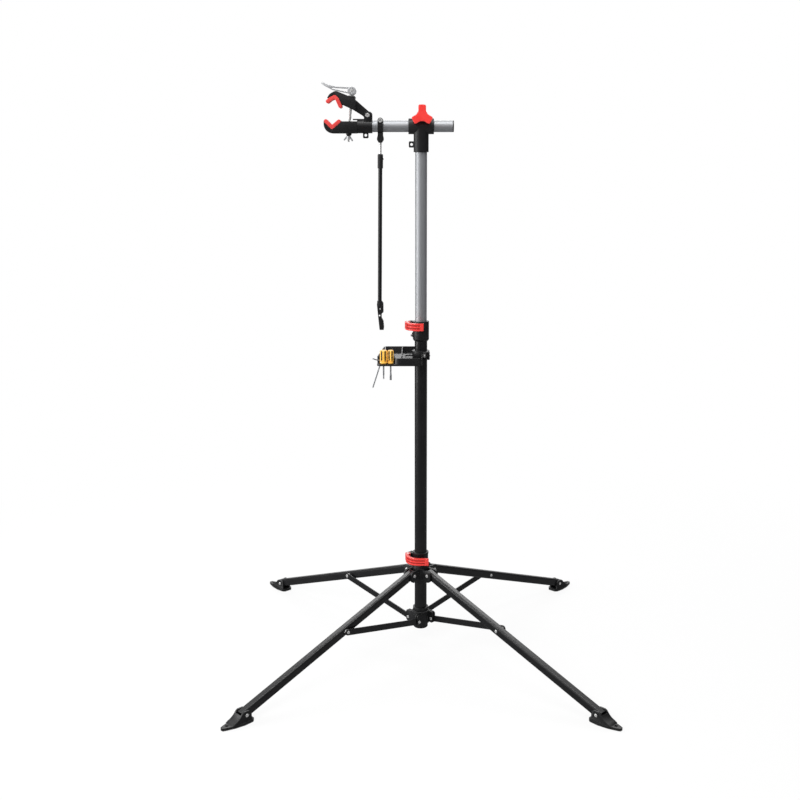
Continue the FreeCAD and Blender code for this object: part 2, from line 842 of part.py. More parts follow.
def build_lever(label, bottom, arc, tip):
    """Curved quick-release lever, in a frame on the centre that its arc bends about."""
    body = new_body(label)
    top = bottom + s.lever_height
    side = s.clamp_slit / 2 + s.ear_thickness
    barrel_side = side + s.lever_cam_radius + s.seat_gap
    ring_x, pivot_y = clamp_point(s.bolt_reach, barrel_side)
    pivot_x = ring_x + s.lever_centre_x
    pivot_radius = distance(pivot_y, pivot_x)
    pivot_angle = slope(pivot_y, pivot_x)
    inner = pivot_radius - s.lever_thickness / 2
    outer = pivot_radius + s.lever_thickness / 2
    bed = outer - s.lever_groove_depth
    web = (s.lever_height - s.lever_groove_height * 2) / 3
    grooves = (bottom + web, bottom + web * 2 + s.lever_groove_height)
    profile = [(inner, bottom), (outer, bottom)]
    for low in grooves:
        high = low + s.lever_groove_height
        profile += [(outer, low), (bed, low), (bed, high), (outer, high)]
    profile += [(outer, top), (inner, top)]
    turned(body, profile, angle=arc, start=pivot_angle)
    slab(body, "XY", bottom, top, (pivot_x, pivot_y, s.lever_cam_radius))
    end_angle = pivot_angle + arc

    def tip_point(radius, run):
        x = radius * cosine(end_angle) - run * sine(end_angle)
        y = radius * sine(end_angle) + run * cosine(end_angle)
        return x, y

    tip_plan = [tip_point(inner, 0.0), tip_point(outer, 0.0), tip_point(outer, tip), tip_point(inner, tip)]
    slab(body, "XY", bottom, top, tip_plan)

    def tip_edge(edge):
        middle = edge.CenterOfMass
        near = []
        for radius in (inner, outer):
            x, y = tip_point(radius, tip)
            near.append(math.hypot(middle.x - number(x), middle.y - number(y)))
        return along(edge, Vector(0, 0, 1)) and min(near) < 1.0

    fillet(body, s.lever_thickness * 0.3, tip_edge)
    if number(tip) > number(s.lever_end_band):
        run = tip - s.lever_end_band
        strip = [
            tip_point(bed, -1.0),
            tip_point(outer + 1.0, -1.0),
            tip_point(outer + 1.0, run),
            tip_point(bed, run),
        ]
        for low in grooves:
            cut(body, "XY", low, low + s.lever_groove_height, strip)
    cut(body, "XY", bottom - 1.0, top + 1.0, (pivot_x, pivot_y, s.barrel_radius + s.pin_clearance))
    room = s.lever_cam_radius + 1.0
    gap = s.clamp_bolt_radius + s.seat_gap
    middle = bottom + s.lever_height / 2
    swept = []
    for reach, across_ears in (
        (-gap, -room),
        (gap + room, -room),
        (gap + room, gap + room * 0.4),
        (-gap * 0.4, gap),
        (-gap, gap * 0.3),
    ):
        x, y = clamp_point(s.bolt_reach + reach, barrel_side + across_ears)
        swept.append((x + s.lever_centre_x, y))
    cut(body, "XY", middle - gap, middle + gap, swept)
    place(body, -s.lever_centre_x, 0.0, 0.0)


def build_mast_collar():
    body = new_body("mast_collar")
    lower_bore = s.lower_tube_radius + s.press_clearance
    upper_bore = s.upper_tube_radius + s.guide_clearance
    turned(
        body,
        [
            (lower_bore, collar_bottom),
            (s.collar_foot_radius, collar_bottom),
            (s.collar_radius, collar_chamfer_top),
            (s.collar_radius, collar_top),
            (upper_bore, collar_top),
            (upper_bore, s.lower_tube_top),
            (lower_bore, s.lower_tube_top),
        ],
    )
    boss = (0.0, guide_screw_height, s.guide_screw_boss_radius)
    slab(body, "YZ", -s.guide_screw_boss_reach, -s.lower_tube_radius - 1.0, boss)
    hole = (0.0, guide_screw_height, s.guide_screw_radius + s.press_clearance)
    cut(body, "YZ", -s.guide_screw_boss_reach - 1.0, 0.0, hole)
    slit_bottom = collar_lever_bottom - 8.0
    add_clamp_ears(body, upper_bore, collar_lever_bottom, slit_bottom, collar_top)
    cut(body, "XY", collar_bottom - 1.0, s.lower_tube_top, (0.0, 0.0, lower_bore))


def build_guide_screw():
    body = new_body("collar_guide_screw")
    shank = (0.0, guide_screw_height, s.guide_screw_radius)
    head = (0.0, guide_screw_height, s.guide_screw_head_radius)
    start = s.guide_screw_boss_reach + s.guide_screw_head_height
    slab(body, "YZ", -start, -s.guide_screw_boss_reach, head)
    inside = s.lower_tube_radius + s.seat_gap
    slab(body, "YZ", -s.guide_screw_boss_reach, -inside, shank)


def build_leg(name, angle):
    body = new_body("leg_" + name)
    half = s.leg_height / 2
    end = leg_length + s.leg_past_foot_pivot
    start = -s.leg_past_hub_pivot
    inner_side = leg_side - s.leg_wall
    inner_half = half - s.leg_wall
    outer = [(-leg_side, -half), (leg_side, -half), (leg_side, half), (-leg_side, half)]
    inner = [
        (-inner_side, -inner_half),
        (inner_side, -inner_half),
        (inner_side, inner_half),
        (-inner_side, inner_half),
    ]
    slab(body, "YZ", start, end, outer, inner)

    def corner_of(side):
        def picks(edge):
            middle = edge.CenterOfMass
            return along(edge, Vector(1, 0, 0)) and abs(abs(middle.y) - number(side)) < 1e-6

        return picks

    fillet(body, s.leg_corner - s.leg_wall, corner_of(inner_side))
    fillet(body, s.leg_corner, corner_of(leg_side))
    holes = [(0.0, 0.0, rivet_hole), (leg_length, 0.0, s.rivet_radius + s.press_clearance)]
    cut(body, "XZ", -leg_side - 1.0, leg_side + 1.0, *holes)
    head_hole = (s.brace_station, 0.0, s.rivet_radius + s.press_clearance)
    cut(body, "XZ", -leg_side - 1.0, leg_side - s.leg_wall * 2, head_hole)
    x, y = polar(s.hub_pivot_radius, angle)
    place(body, x, y, s.hub_pivot_height, yaw=angle, pitch=leg_slope)


def build_leg_rivets(name, angle):
    """The foot rivet and the far-side head of the brace rivet, both fixed in the leg."""
    ear = leg_side + s.seat_gap + s.foot_wall + s.seat_gap
    foot_rivet = rivet(leg_length, 0.0, -ear, ear)
    head = rivet(s.brace_station, 0.0, -leg_side, leg_side)
    keep = Part.makeBox(40, 40, 40, Vector(number(s.brace_station) - 20, -40 - 5.0, -20))
    head = head.common(keep).Solids[0]
    x, y = polar(s.hub_pivot_radius, angle)
    group = Part.makeCompound([foot_rivet, head])
    new_feature(
        "leg_%s_rivets" % name, group, x, y, s.hub_pivot_height, yaw=angle, pitch=leg_slope
    )


def build_brace(name, angle):
    body = new_body("brace_" + name)
    half = s.brace_width / 2
    bar = [(0.0, -half), (brace_length, -half), (brace_length, half), (0.0, half)]
    slab(body, "XZ", brace_inner, brace_outer, bar)
    slab(body, "XZ", brace_inner, brace_outer, (0.0, 0.0, half))
    slab(body, "XZ", brace_inner, brace_outer, (brace_length, 0.0, half))
    near_hole = (0.0, 0.0, rivet_hole)
    far_hole = (brace_length, 0.0, s.rivet_radius + s.press_clearance)
    cut(body, "XZ", brace_inner - 1.0, brace_outer + 1.0, near_hole, far_hole)
    x, y = polar(s.lower_pivot_radius, angle)
    place(body, x, y, s.lower_pivot_height, yaw=angle, pitch=-brace_slope)


def build_brace_rivet(name, angle):
    """Shouldered rivet: its shoulder spaces the brace off the leg's side."""
    start = leg_side + s.seat_gap
    body = new_body("brace_%s_rivet" % name)
    shoulder = (brace_length, 0.0, s.rivet_shoulder_radius)
    shank = (brace_length, 0.0, s.rivet_radius)
    head = (brace_length, 0.0, s.rivet_head_radius)
    slab(body, "XZ", start, brace_inner, shoulder)
    slab(body, "XZ", brace_inner, brace_outer, shank)
    slab(body, "XZ", brace_outer, brace_outer + s.rivet_head_height, head)
    head_end = number(brace_outer + s.rivet_head_height)

    def head_rim(edge):
        middle = edge.CenterOfMass
        return edge.Curve.TypeId == "Part::GeomCircle" and abs(middle.y - head_end) < 1e-6

    fillet(body, s.rivet_head_height * 0.5, head_rim)
    x, y = polar(s.lower_pivot_radius, angle)
    place(body, x, y, s.lower_pivot_height, yaw=angle, pitch=-brace_slope)


def build_foot(name, angle):
    """Moulded shoe in a frame on the foot rivet, +X towards the toe."""
    body = new_body("foot_" + name)
    sole = -s.foot_pivot_height
    deck = sole + s.foot_sole_thickness
    wide = s.foot_half_width
    nose = s.foot_nose_half_width
    plan = [
        (-s.foot_heel, -wide * 0.6),
        (-s.foot_heel * 0.7, -wide * 0.92),
        (s.foot_toe * 0.13, -wide),
        (s.foot_toe * 0.53, -wide * 0.8),
        (s.foot_toe * 0.85, -wide * 0.45),
        (s.foot_toe, -nose),
        (s.foot_toe, nose),
        (s.foot_toe * 0.85, wide * 0.45),
        (s.foot_toe * 0.53, wide * 0.8),
        (s.foot_toe * 0.13, wide),
        (-s.foot_heel * 0.7, wide * 0.92),
        (-s.foot_heel, wide * 0.6),
    ]
    slab(body, "XY", sole, deck, plan)
    ear_inner = leg_side + s.seat_gap
    ear_outer = ear_inner + s.foot_wall
    top = s.foot_ear_top
    profile = [
        (-s.foot_heel * 0.62, deck),
        (-s.foot_heel * 0.62, top * 0.5),
        (-s.foot_heel * 0.34, top),
        (s.foot_toe * 0.12, top),
        (s.foot_toe * 0.3, top * 0.3),
        (s.foot_toe * 0.5, deck + 7.0),
        (s.foot_toe * 0.66, deck),
    ]
    slab(body, "XZ", -ear_outer, ear_outer, profile)
    hollow = [
        (-s.foot_heel - 1.0, deck),
        (s.foot_front_wall, deck),
        (s.foot_front_wall, top + 1.0),
        (-s.foot_heel - 1.0, top + 1.0),
    ]
    cut(body, "XZ", -ear_inner, ear_inner, hollow)
    cut(body, "XZ", -ear_outer - 1.0, ear_outer + 1.0, (0.0, 0.0, rivet_hole))
    cut(body, "XY", sole - 1.0, deck + 1.0, (s.anchor_station, 0.0, s.anchor_hole_radius))
    cut(body, "XY", deck - 2.0, deck + 1.0, (s.anchor_station, 0.0, s.anchor_seat_radius))
    x, y = polar(s.foot_pivot_radius, angle)
    place(body, x, y, s.foot_pivot_height, yaw=angle)


def build_glide_plug():
    """Plug under the upper tube: its flange slides in the lower tube, its spigot turns."""
    body = new_body("glide_plug")
    bore = s.lower_tube_radius - s.lower_tube_wall
    flange = bore - s.guide_clearance
    spigot = s.upper_tube_radius - s.upper_tube_wall - s.pin_clearance
    turned(
        body,
        [
            (0.0, s.upper_tube_bottom - s.glide_flange_height),
            (flange, s.upper_tube_bottom - s.glide_flange_height),
            (flange, s.upper_tube_bottom),
            (spigot, s.upper_tube_bottom),
            (spigot, s.upper_tube_bottom + s.glide_spigot_height),
            (0.0, s.upper_tube_bottom + s.glide_spigot_height),
        ],
    )


def build_upper_tube():
    body = new_body("upper_mast_tube")
    top = tee_bottom + s.tee_socket_depth
    tube(body, s.upper_tube_radius, s.upper_tube_wall, s.upper_tube_bottom, top)


def build_tee():
    body = new_body("tee")
    socket_bore = s.upper_tube_radius + s.press_clearance
    sleeve_bore = s.arm_radius + s.guide_clearance
    half_tee = s.tee_sleeve_half_length
    slab(body, "XY", tee_bottom, s.arm_height, (0.0, 0.0, s.tee_socket_radius))
    slab(body, "YZ", -half_tee, half_tee, (0.0, s.arm_height, s.tee_sleeve_radius))
    ear_side = s.knob_slit / 2 + s.knob_ear_thickness
    knob_z = s.arm_height + s.knob_height
    slab(body, "XZ", -ear_side, ear_side, (s.knob_x, knob_z, s.knob_ear_radius))
    web = [
        (s.knob_x - s.knob_ear_radius, s.arm_height),
        (s.knob_x + s.knob_ear_radius, s.arm_height),
        (s.knob_x + s.knob_ear_radius, knob_z),
        (s.knob_x - s.knob_ear_radius, knob_z),
    ]
    slab(body, "XZ", -ear_side, ear_side, web)
    half_tab = s.tee_tab_height / 2
    tab = [
        (-s.tee_tab_reach, tee_tab_level - half_tab),
        (-s.upper_tube_radius - 1.0, tee_tab_level - half_tab),
        (-s.upper_tube_radius - 1.0, tee_tab_level + half_tab),
        (-s.tee_tab_reach, tee_tab_level + half_tab),
    ]
    slab(body, "XZ", -s.tee_tab_thickness / 2, s.tee_tab_thickness / 2, tab)

    def tab_corner(edge):
        middle = edge.CenterOfMass
        return along(edge, Vector(0, 1, 0)) and abs(middle.x + number(s.tee_tab_reach)) < 1e-6

    fillet(body, s.tee_tab_thickness * 0.6, tab_corner)
    cut(body, "XY", tee_bottom - 1.0, tee_bottom + s.tee_socket_depth, (0.0, 0.0, socket_bore))
    cut(body, "YZ", -half_tee - 1.0, half_tee + 1.0, (0.0, s.arm_height, sleeve_bore))
    slit = [
        (-half_tee - 1.0, s.arm_height + s.arm_radius - 3.0),
        (half_tee + 1.0, s.arm_height + s.arm_radius - 3.0),
        (half_tee + 1.0, knob_z + s.knob_ear_radius + 1.0),
        (-half_tee - 1.0, knob_z + s.knob_ear_radius + 1.0),
    ]
    cut(body, "XZ", -s.knob_slit / 2, s.knob_slit / 2, slit)
    stud_hole = (s.knob_x, knob_z, s.knob_stud_radius + s.pin_clearance)
    cut(body, "XZ", -ear_side - 1.0, ear_side + 1.0, stud_hole)
    tab_hole = (-(s.tee_tab_reach + s.tee_socket_radius) / 2 + 1.0, tee_tab_level, s.tab_hole_radius)
    cut(body, "XZ", -s.tee_tab_thickness, s.tee_tab_thickness, tab_hole)


def build_knob():
    """Three-lobed knob with its moulded-in stud, in a frame on the stud's axis."""
    body = new_body("tee_knob")
    ear_side = s.knob_slit / 2 + s.knob_ear_thickness
    back = -ear_side - s.seat_gap
    rear = back - s.knob_boss_height
    front = rear - s.knob_thickness
    slab(body, "XZ", front, rear, (0.0, 0.0, s.knob_core_radius))
    half = s.knob_lobe_width / 2
    for angle in LOBE_ANGLES:
        out_x, out_z = polar(s.knob_lobe_reach, angle)
        side_x, side_z = polar(half, angle + 90.0)
        lobe = [
            (side_x, side_z),
            (out_x + side_x, out_z + side_z),
            (out_x - side_x, out_z - side_z),
            (-side_x, -side_z),
        ]
        slab(body, "XZ", front, rear, lobe)

    def lobe_tip(edge):
        middle = edge.CenterOfMass
        return along(edge, Vector(0, 1, 0)) and math.hypot(middle.x, middle.z) > 25.0

    def valley(edge):
        middle = edge.CenterOfMass
        return along(edge, Vector(0, 1, 0)) and math.hypot(middle.x, middle.z) < 20.0

    def front_rim(edge):
        return abs(edge.BoundBox.YMax - number(front)) < 1e-6

    fillet(body, s.knob_lobe_width * 0.22, lobe_tip)
    fillet(body, s.knob_lobe_width * 0.3, valley)
    fillet(body, s.knob_thickness * 0.12, front_rim)
    slab(body, "XZ", rear, back, (0.0, 0.0, s.knob_boss_radius))
    slab(body, "XZ", back, ear_side + 6.0, (0.0, 0.0, s.knob_stud_radius))
    place(body, s.knob_x, 0.0, s.arm_height + s.knob_height)


def build_arm():
    body = new_body("arm_tube")
    ring = (0.0, 0.0, s.arm_radius)
    bore = (0.0, 0.0, s.arm_radius - s.arm_wall)
    slab(body, "YZ", -s.arm_left_end, s.arm_right_end, ring, bore)
    place(body, 0.0, 0.0, s.arm_height)
    cap = new_body("arm_end_cap")
    plug = (0.0, 0.0, s.arm_radius - s.arm_wall - s.press_clearance)
    flange_end = s.arm_right_end + s.arm_cap_flange
    slab(cap, "YZ", s.arm_right_end - s.arm_cap_plug, s.arm_right_end, plug)
    slab(cap, "YZ", s.arm_right_end, flange_end, (0.0, 0.0, s.arm_radius))

    def outer_rim(edge):
        return abs(edge.BoundBox.XMin - number(flange_end)) < 1e-6

    fillet(cap, s.arm_cap_flange * 0.4, outer_rim)
    place(cap, 0.0, 0.0, s.arm_height)


# Clamp head outlines, in a frame on the arm axis with x along the arm

LOWER_PAD_LINE = [(-276.0, 14.5), (-258.0, -3.0), (-238.0, 13.5)]
UPPER_PAD_LINE = [(-269.5, 69.6), (-260.0, 77.0), (-249.0, 81.8), (-242.0, 75.5), (-233.6, 56.0)]


def lower_jaw_outline():
    bottom = -s.head_bottom
    top = s.head_top
    left = -s.head_sleeve_left
    return (
        [(left, bottom), (-282.0, bottom), (-282.0, 15.5), (-234.0, 15.5), (-231.5, top), (left, top)],
        [0.0, 26.0, 2.0, 2.0, 3.0, 0.0],
    )


UPPER_JAW_POINTS = [
    (-272.0, 78.0),
    (-264.0, 90.0),
    (-247.0, 99.5),
    (-213.0, 86.0),
    (-210.5, 85.0),
    (-189.5, 83.1),
    (-191.5, 76.0),
    (-177.0, 63.5),
    (-148.5, 39.0),
    (-151.5, 23.5),
    (-164.5, 24.5),
    (-170.5, 30.0),
    (-198.5, 47.0),
    (-227.0, 60.0),
    (-240.0, 60.0),
    (-254.0, 76.0),
]
UPPER_JAW_ROUNDS = [2.0, 12.0, 14.0, 0.5, 0.5, 1.5, 3.0, 20.0, 6.0, 6.0, 3.0, 6.0, 20.0, 0.5, 1.0, 4.0]


def skewer_line(height):
    """The skewer axis's x at a height above the arm axis."""
    drop = number(s.skewer_pivot_height) - height
    return -number(s.skewer_pivot_x) - drop * math.tan(math.radians(number(s.skewer_lean)))


def slot_cutter(corners):
    """A slot through a jaw, by distance from the skewer's axis; wider where the skewer swings further."""
    points = [(skewer_line(height) + side, height) for side, height in corners]
    return across(Part.Face(Part.makePolygon(flat(points + points[:1]))), s.skewer_slot_width)


def dome_centre():
    height = -number(s.head_bottom)
    return Vector(skewer_line(height), 0, height)


def build_clamp_head():
    points, rounds = lower_jaw_outline()
    jaw = across(rounded_face(points, rounds), s.head_width)
    sleeve_length = number(s.head_sleeve_left - s.head_sleeve_right)
    left = Vector(-number(s.head_sleeve_left), 0, 0)
    along_arm = Vector(1, 0, 0)
    sleeve = Part.makeCylinder(number(s.head_sleeve_radius), sleeve_length, left, along_arm)
    hinge_x = -number(s.jaw_hinge_x)
    hinge_z = number(s.jaw_hinge_height)
    ear_inner = number(s.jaw_arm_width) / 2.0 + number(s.seat_gap)
    ear_width = 2.0 * (ear_inner + number(s.hinge_ear_thickness))
    right = -number(s.head_sleeve_right)
    ear_outline = [
        (hinge_x - 10.5, 12.0),
        (right, 12.0),
        (right, hinge_z + 9.5),
        (hinge_x - 8.0, hinge_z + 9.5),
        (hinge_x - 10.5, 26.0),
    ]
    ears = across(rounded_face(ear_outline, [0.0, 0.0, 8.0, 8.0, 3.0]), ear_width)
    gap_outline = [(hinge_x - 14, 21.5), (right + 1, 21.5), (right + 1, 60.0), (hinge_x - 14, 60.0)]
    gap = across(Part.Face(Part.makePolygon(flat(gap_outline + gap_outline[:1]))), 2.0 * ear_inner)
    ledge = Part.makeBox(43.0, 16.0, 3.5, Vector(hinge_x - 43.0, -8.0, 17.4))
    tab_half = number(s.head_tab_width) / 2.0
    tab_x = -number(s.head_tab_x)
    tab_outline = [
        (tab_x - tab_half, -number(s.head_tab_reach)),
        (tab_x + tab_half, -number(s.head_tab_reach)),
        (tab_x + tab_half, -18.0),
        (tab_x - tab_half, -18.0),
    ]
    tab = across(rounded_face(tab_outline, [3.0, 3.0, 0.0, 0.0]), s.head_tab_thickness)
    solid = jaw.fuse([sleeve, ears, tab])
    solid = solid.cut(gap).fuse(ledge)
    bore_radius = number(s.arm_radius + s.pin_clearance)
    bore_start = Vector(-number(s.arm_left_end + s.seat_gap), 0, 0)
    bore = Part.makeCylinder(bore_radius, 60.0, bore_start, along_arm)
    pad_seat = across(thick_line(LOWER_PAD_LINE, s.pad_thickness), s.pad_width + 2.0)
    above_seat = LOWER_PAD_LINE + [(-238.0, 30.0), (-276.0, 30.0)]
    seat_mouth = across(Part.Face(Part.makePolygon(flat(above_seat + above_seat[:1]))), 60.0)
    slot = slot_cutter([(-17.8, 18.0), (15.2, 18.0), (8.8, -22.0), (-9.2, -22.0)])
    dome_room = Part.makeSphere(number(s.dome_radius + s.dome_seat_clearance), dome_centre())
    hinge_hole = pin_across(
        hinge_x, hinge_z, s.jaw_hinge_radius + s.press_clearance, -30.0, 30.0
    )
    tab_hole = pin_across(tab_x, -s.head_tab_drop, s.tab_hole_radius, -10.0, 10.0)
    for tool in (bore, pad_seat, seat_mouth, slot, dome_room, hinge_hole, tab_hole):
        solid = solid.cut(tool)
    new_feature("clamp_head", solid.removeSplitter(), 0.0, 0.0, s.arm_height)


def build_pads():
    lower = across(thick_line(LOWER_PAD_LINE, s.pad_thickness), s.pad_width)
    new_feature("lower_jaw_pad", lower, 0.0, 0.0, s.arm_height)
    upper = across(thick_line(UPPER_PAD_LINE, s.pad_thickness), s.pad_width)
    new_feature("upper_jaw_pad", upper, 0.0, 0.0, s.arm_height)


def build_jaw_hinge_bolt():
    ear_inner = number(s.jaw_arm_width) / 2.0 + number(s.seat_gap)
    reach = ear_inner + number(s.hinge_ear_thickness)
    head = number(s.hinge_bolt_head_height)
    x = -number(s.jaw_hinge_x)
    z = number(s.jaw_hinge_height)
    shank = pin_across(x, z, s.jaw_hinge_radius, -reach - head, reach + head)
    near = pin_across(x, z, s.hinge_bolt_head_radius, -reach - head, -reach)
    far = pin_across(x, z, s.hinge_bolt_head_radius, reach, reach + head)
    socket = pin_across(x, z, s.hinge_bolt_head_radius * 0.45, -reach - head - 1.0, -reach - 1.2)
    solid = shank.fuse([near, far]).removeSplitter().cut(socket)
    new_feature("jaw_hinge_bolt", solid, 0.0, 0.0, s.arm_height)


def build_upper_jaw():
    whole = rounded_face(UPPER_JAW_POINTS, UPPER_JAW_ROUNDS)
    wide = across(whole, s.head_width)
    narrow = across(whole, s.jaw_arm_width)
    hinge_x = -number(s.jaw_hinge_x)
    hinge_z = number(s.jaw_hinge_height)
    block = 150.0
    front = Part.makeBox(block, block, block, Vector(-number(s.jaw_wide_right) - block, -block / 2, 0.0))
    solid = wide.common(front).fuse(narrow)
    half = s.jaw_arm_width / 2
    knuckle = pin_across(hinge_x, hinge_z, s.jaw_knuckle_radius, -half, half)
    solid = solid.fuse(knuckle)
    pad_seat = across(thick_line(UPPER_PAD_LINE, s.pad_thickness), s.pad_width + 2.0)
    slot = slot_cutter([(-10.5, 93.0), (8.5, 93.0), (17.9, 38.0), (-18.1, 38.0)])
    hinge_hole = pin_across(hinge_x, hinge_z, s.jaw_hinge_radius + s.pin_clearance, -30.0, 30.0)
    mouth = UPPER_PAD_LINE + [(-236.0, 40.0), (-280.0, 40.0), (-285.0, 64.0)]
    seat_mouth = across(Part.Face(Part.makePolygon(flat(mouth + mouth[:1]))), 60.0)
    for tool in (pad_seat, seat_mouth, slot, hinge_hole):
        solid = solid.cut(tool)
    new_feature("upper_jaw", solid.removeSplitter(), 0.0, 0.0, s.arm_height)


def in_skewer_frame(label, shape):
    """Places a piece modelled about the cam pivot, with the skewer along its -Z."""
    x = -s.skewer_pivot_x
    z = s.arm_height + s.skewer_pivot_height
    new_feature(label, shape, x, 0.0, z, pitch=s.skewer_lean)


def build_skewer():
    length = number(s.skewer_length)
    rod = Part.makeCylinder(number(s.skewer_radius), length, Vector(0, 0, 0), Vector(0, 0, -1))
    half = s.cam_width / 2
    barrel = pin_across(0.0, 0.0, s.skewer_barrel_radius, -half, half)
    in_skewer_frame("skewer_rod", rod.fuse(barrel).removeSplitter())


def build_cam_lever():
    cheek_width = s.cam_width
    disc = pin_across(0.0, -s.cam_offset, s.cam_radius, -cheek_width / 2, cheek_width / 2)
    arm_points = [
        (0.0, 10.6),
        (-9.9, 8.9),
        (-46.0, 7.0),
        (-69.7, 10.4),
        (-87.9, 16.8),
        (-90.3, 11.9),
        (-76.6, 5.0),
        (-57.1, -2.8),
        (-43.0, -4.4),
        (-30.9, -6.0),
        (-11.2, -8.2),
        (0.0, -8.2),
    ]
    arm_rounds = [0.0, 0.0, 30.0, 25.0, 2.2, 2.2, 20.0, 20.0, 20.0, 20.0, 0.0, 0.0]
    arm = across(rounded_face(arm_points, arm_rounds), s.cam_lever_width)
    window_points = [(-13.0, 4.6), (-46.0, 3.4), (-59.0, 3.6), (-57.0, 0.6), (-31.0, -2.6), (-13.0, -4.4)]
    window = across(rounded_face(window_points, [1.0, 8.0, 0.8, 0.8, 8.0, 1.0]), 60.0)
    slot = Part.makeBox(60.0, number(s.cam_slot), 60.0, Vector(-15.0, -number(s.cam_slot) / 2, -30.0))
    hole = pin_across(0.0, 0.0, s.skewer_barrel_radius + s.pin_clearance, -30.0, 30.0)
    solid = disc.fuse(arm).cut(window).cut(slot).cut(hole)
    in_skewer_frame("cam_lever", solid.removeSplitter())


def build_cam_washer():
    """Flat washer on the upper jaw's platform; the skewer swings through its hole."""
    top = -number(s.cam_offset + s.cam_radius + s.seat_gap)
    thick = number(s.cam_washer_thickness)
    base = Vector(0, 0, top - thick)
    ring = Part.makeCylinder(number(s.cam_washer_radius), thick, base)
    hole = Part.makeCylinder(number(s.cam_washer_hole), thick + 2.0, base - Vector(0, 0, 1))
    in_skewer_frame("cam_washer", ring.cut(hole))


def dome_level():
    """Distance from the cam pivot down the skewer to the dome washer's centre."""
    drop = number(s.skewer_pivot_height + s.head_bottom)
    return drop / math.cos(math.radians(number(s.skewer_lean)))


def build_dome_washer():
    level = -dome_level()
    dome = Part.makeSphere(number(s.dome_radius), Vector(0, 0, level))
    hole_radius = number(s.skewer_radius + s.guide_clearance)
    hole = Part.makeCylinder(hole_radius, 40.0, Vector(0, 0, level - 20.0))
    top_cut = Part.makeBox(40, 40, 20, Vector(-20, -20, level + 4.0))
    in_skewer_frame("dome_washer", dome.cut(hole).cut(top_cut))


def build_wing_nut():
    top = -dome_level() - number(s.dome_radius * 0.86 + s.seat_gap)
    height = number(s.wing_nut_height)
    nut = Part.makeCone(
        number(s.wing_nut_radius * 0.8), number(s.wing_nut_radius), height, Vector(0, 0, top - height)
    )
    span = number(s.wing_span)
    drop = number(s.wing_drop)
    wing_points = [
        (3.0, top - 0.6),
        (6.5, top - 0.6),
        (span, top - drop + 2.0),
        (span - 4.2, top - drop),
        (3.0, top - height * 0.55),
    ]
    right = across(rounded_face(wing_points, [0.0, 2.0, 2.0, 2.0, 0.0]), s.wing_thickness)
    left = right.mirror(Vector(0, 0, 0), Vector(1, 0, 0))
    hole_radius = number(s.skewer_radius + s.pin_clearance)
    hole = Part.makeCylinder(hole_radius, 60.0, Vector(0, 0, top - 50.0))
    in_skewer_frame("wing_nut", nut.fuse([right, left]).cut(hole).removeSplitter())


def in_rod_frame(item):
    place(item, -s.strap_x, 0.0, s.arm_height, pitch=s.rod_lean)


def build_handlebar_strap():
    """Rubber strap: a band round the arm, a front tab and the block that holds the rod."""
    body = new_body("handlebar_strap")
    half = s.strap_width / 2
    inner = s.arm_radius + s.seat_gap
    outer = inner + s.strap_thickness
    slab(body, "YZ", -half, half, (0.0, 0.0, outer))
    tab = [(-half, 0.0), (half, 0.0), (half, s.strap_tab_top), (-half, s.strap_tab_top)]
    slab(body, "XZ", -outer - s.strap_tab_thickness + 1.5, -outer + 1.5, tab)

    def tab_corner(edge):
        middle = edge.CenterOfMass
        return along(edge, Vector(0, 1, 0)) and abs(middle.z - number(s.strap_tab_top)) < 1e-6

    fillet(body, half - 0.4, tab_corner)
    wide = s.strap_shoulder_half_width
    block = [
        (-half, -inner),
        (-half, -inner - 9.0),
        (-wide, -s.strap_bottom + 13.0),
        (-wide, -s.strap_bottom + 8.0),
        (-s.rod_inner_radius - 1.5, -s.strap_bottom),
        (s.rod_inner_radius + 1.5, -s.strap_bottom),
        (wide, -s.strap_bottom + 8.0),
        (wide, -s.strap_bottom + 13.0),
        (half, -inner - 9.0),
        (half, -inner),
    ]
    slab(body, "XZ", -s.strap_block_depth / 2, s.strap_block_depth / 2, block)
    cut(body, "YZ", -half - 1.0, half + 1.0, (0.0, 0.0, inner))
    grip_top = -s.strap_bottom + s.rod_inner_grip
    rod_hole = (0.0, 0.0, s.rod_inner_radius + s.press_clearance)
    cut(body, "XY", -s.strap_bottom - 1.0, grip_top, rod_hole)
    eyelet_hole = (0.0, s.eyelet_height, s.eyelet_barrel_radius + s.press_clearance)
    cut(body, "XZ", -outer - s.strap_tab_thickness, 0.0, eyelet_hole)
    in_rod_frame(body)


def build_strap_eyelet():
    body = new_body("strap_eyelet")
    outer = s.arm_radius + s.seat_gap + s.strap_thickness
    face = -outer - s.strap_tab_thickness + 1.5
    flange = (0.0, s.eyelet_height, s.eyelet_radius)
    barrel = (0.0, s.eyelet_height, s.eyelet_barrel_radius)
    hole = (0.0, s.eyelet_height, s.eyelet_hole_radius)
    slab(body, "XZ", face - s.eyelet_flange, face, flange)
    slab(body, "XZ", face, face + s.strap_tab_thickness * 0.8, barrel)
    cut(body, "XZ", face - s.eyelet_flange - 1.0, face + s.strap_tab_thickness, hole)
    in_rod_frame(body)


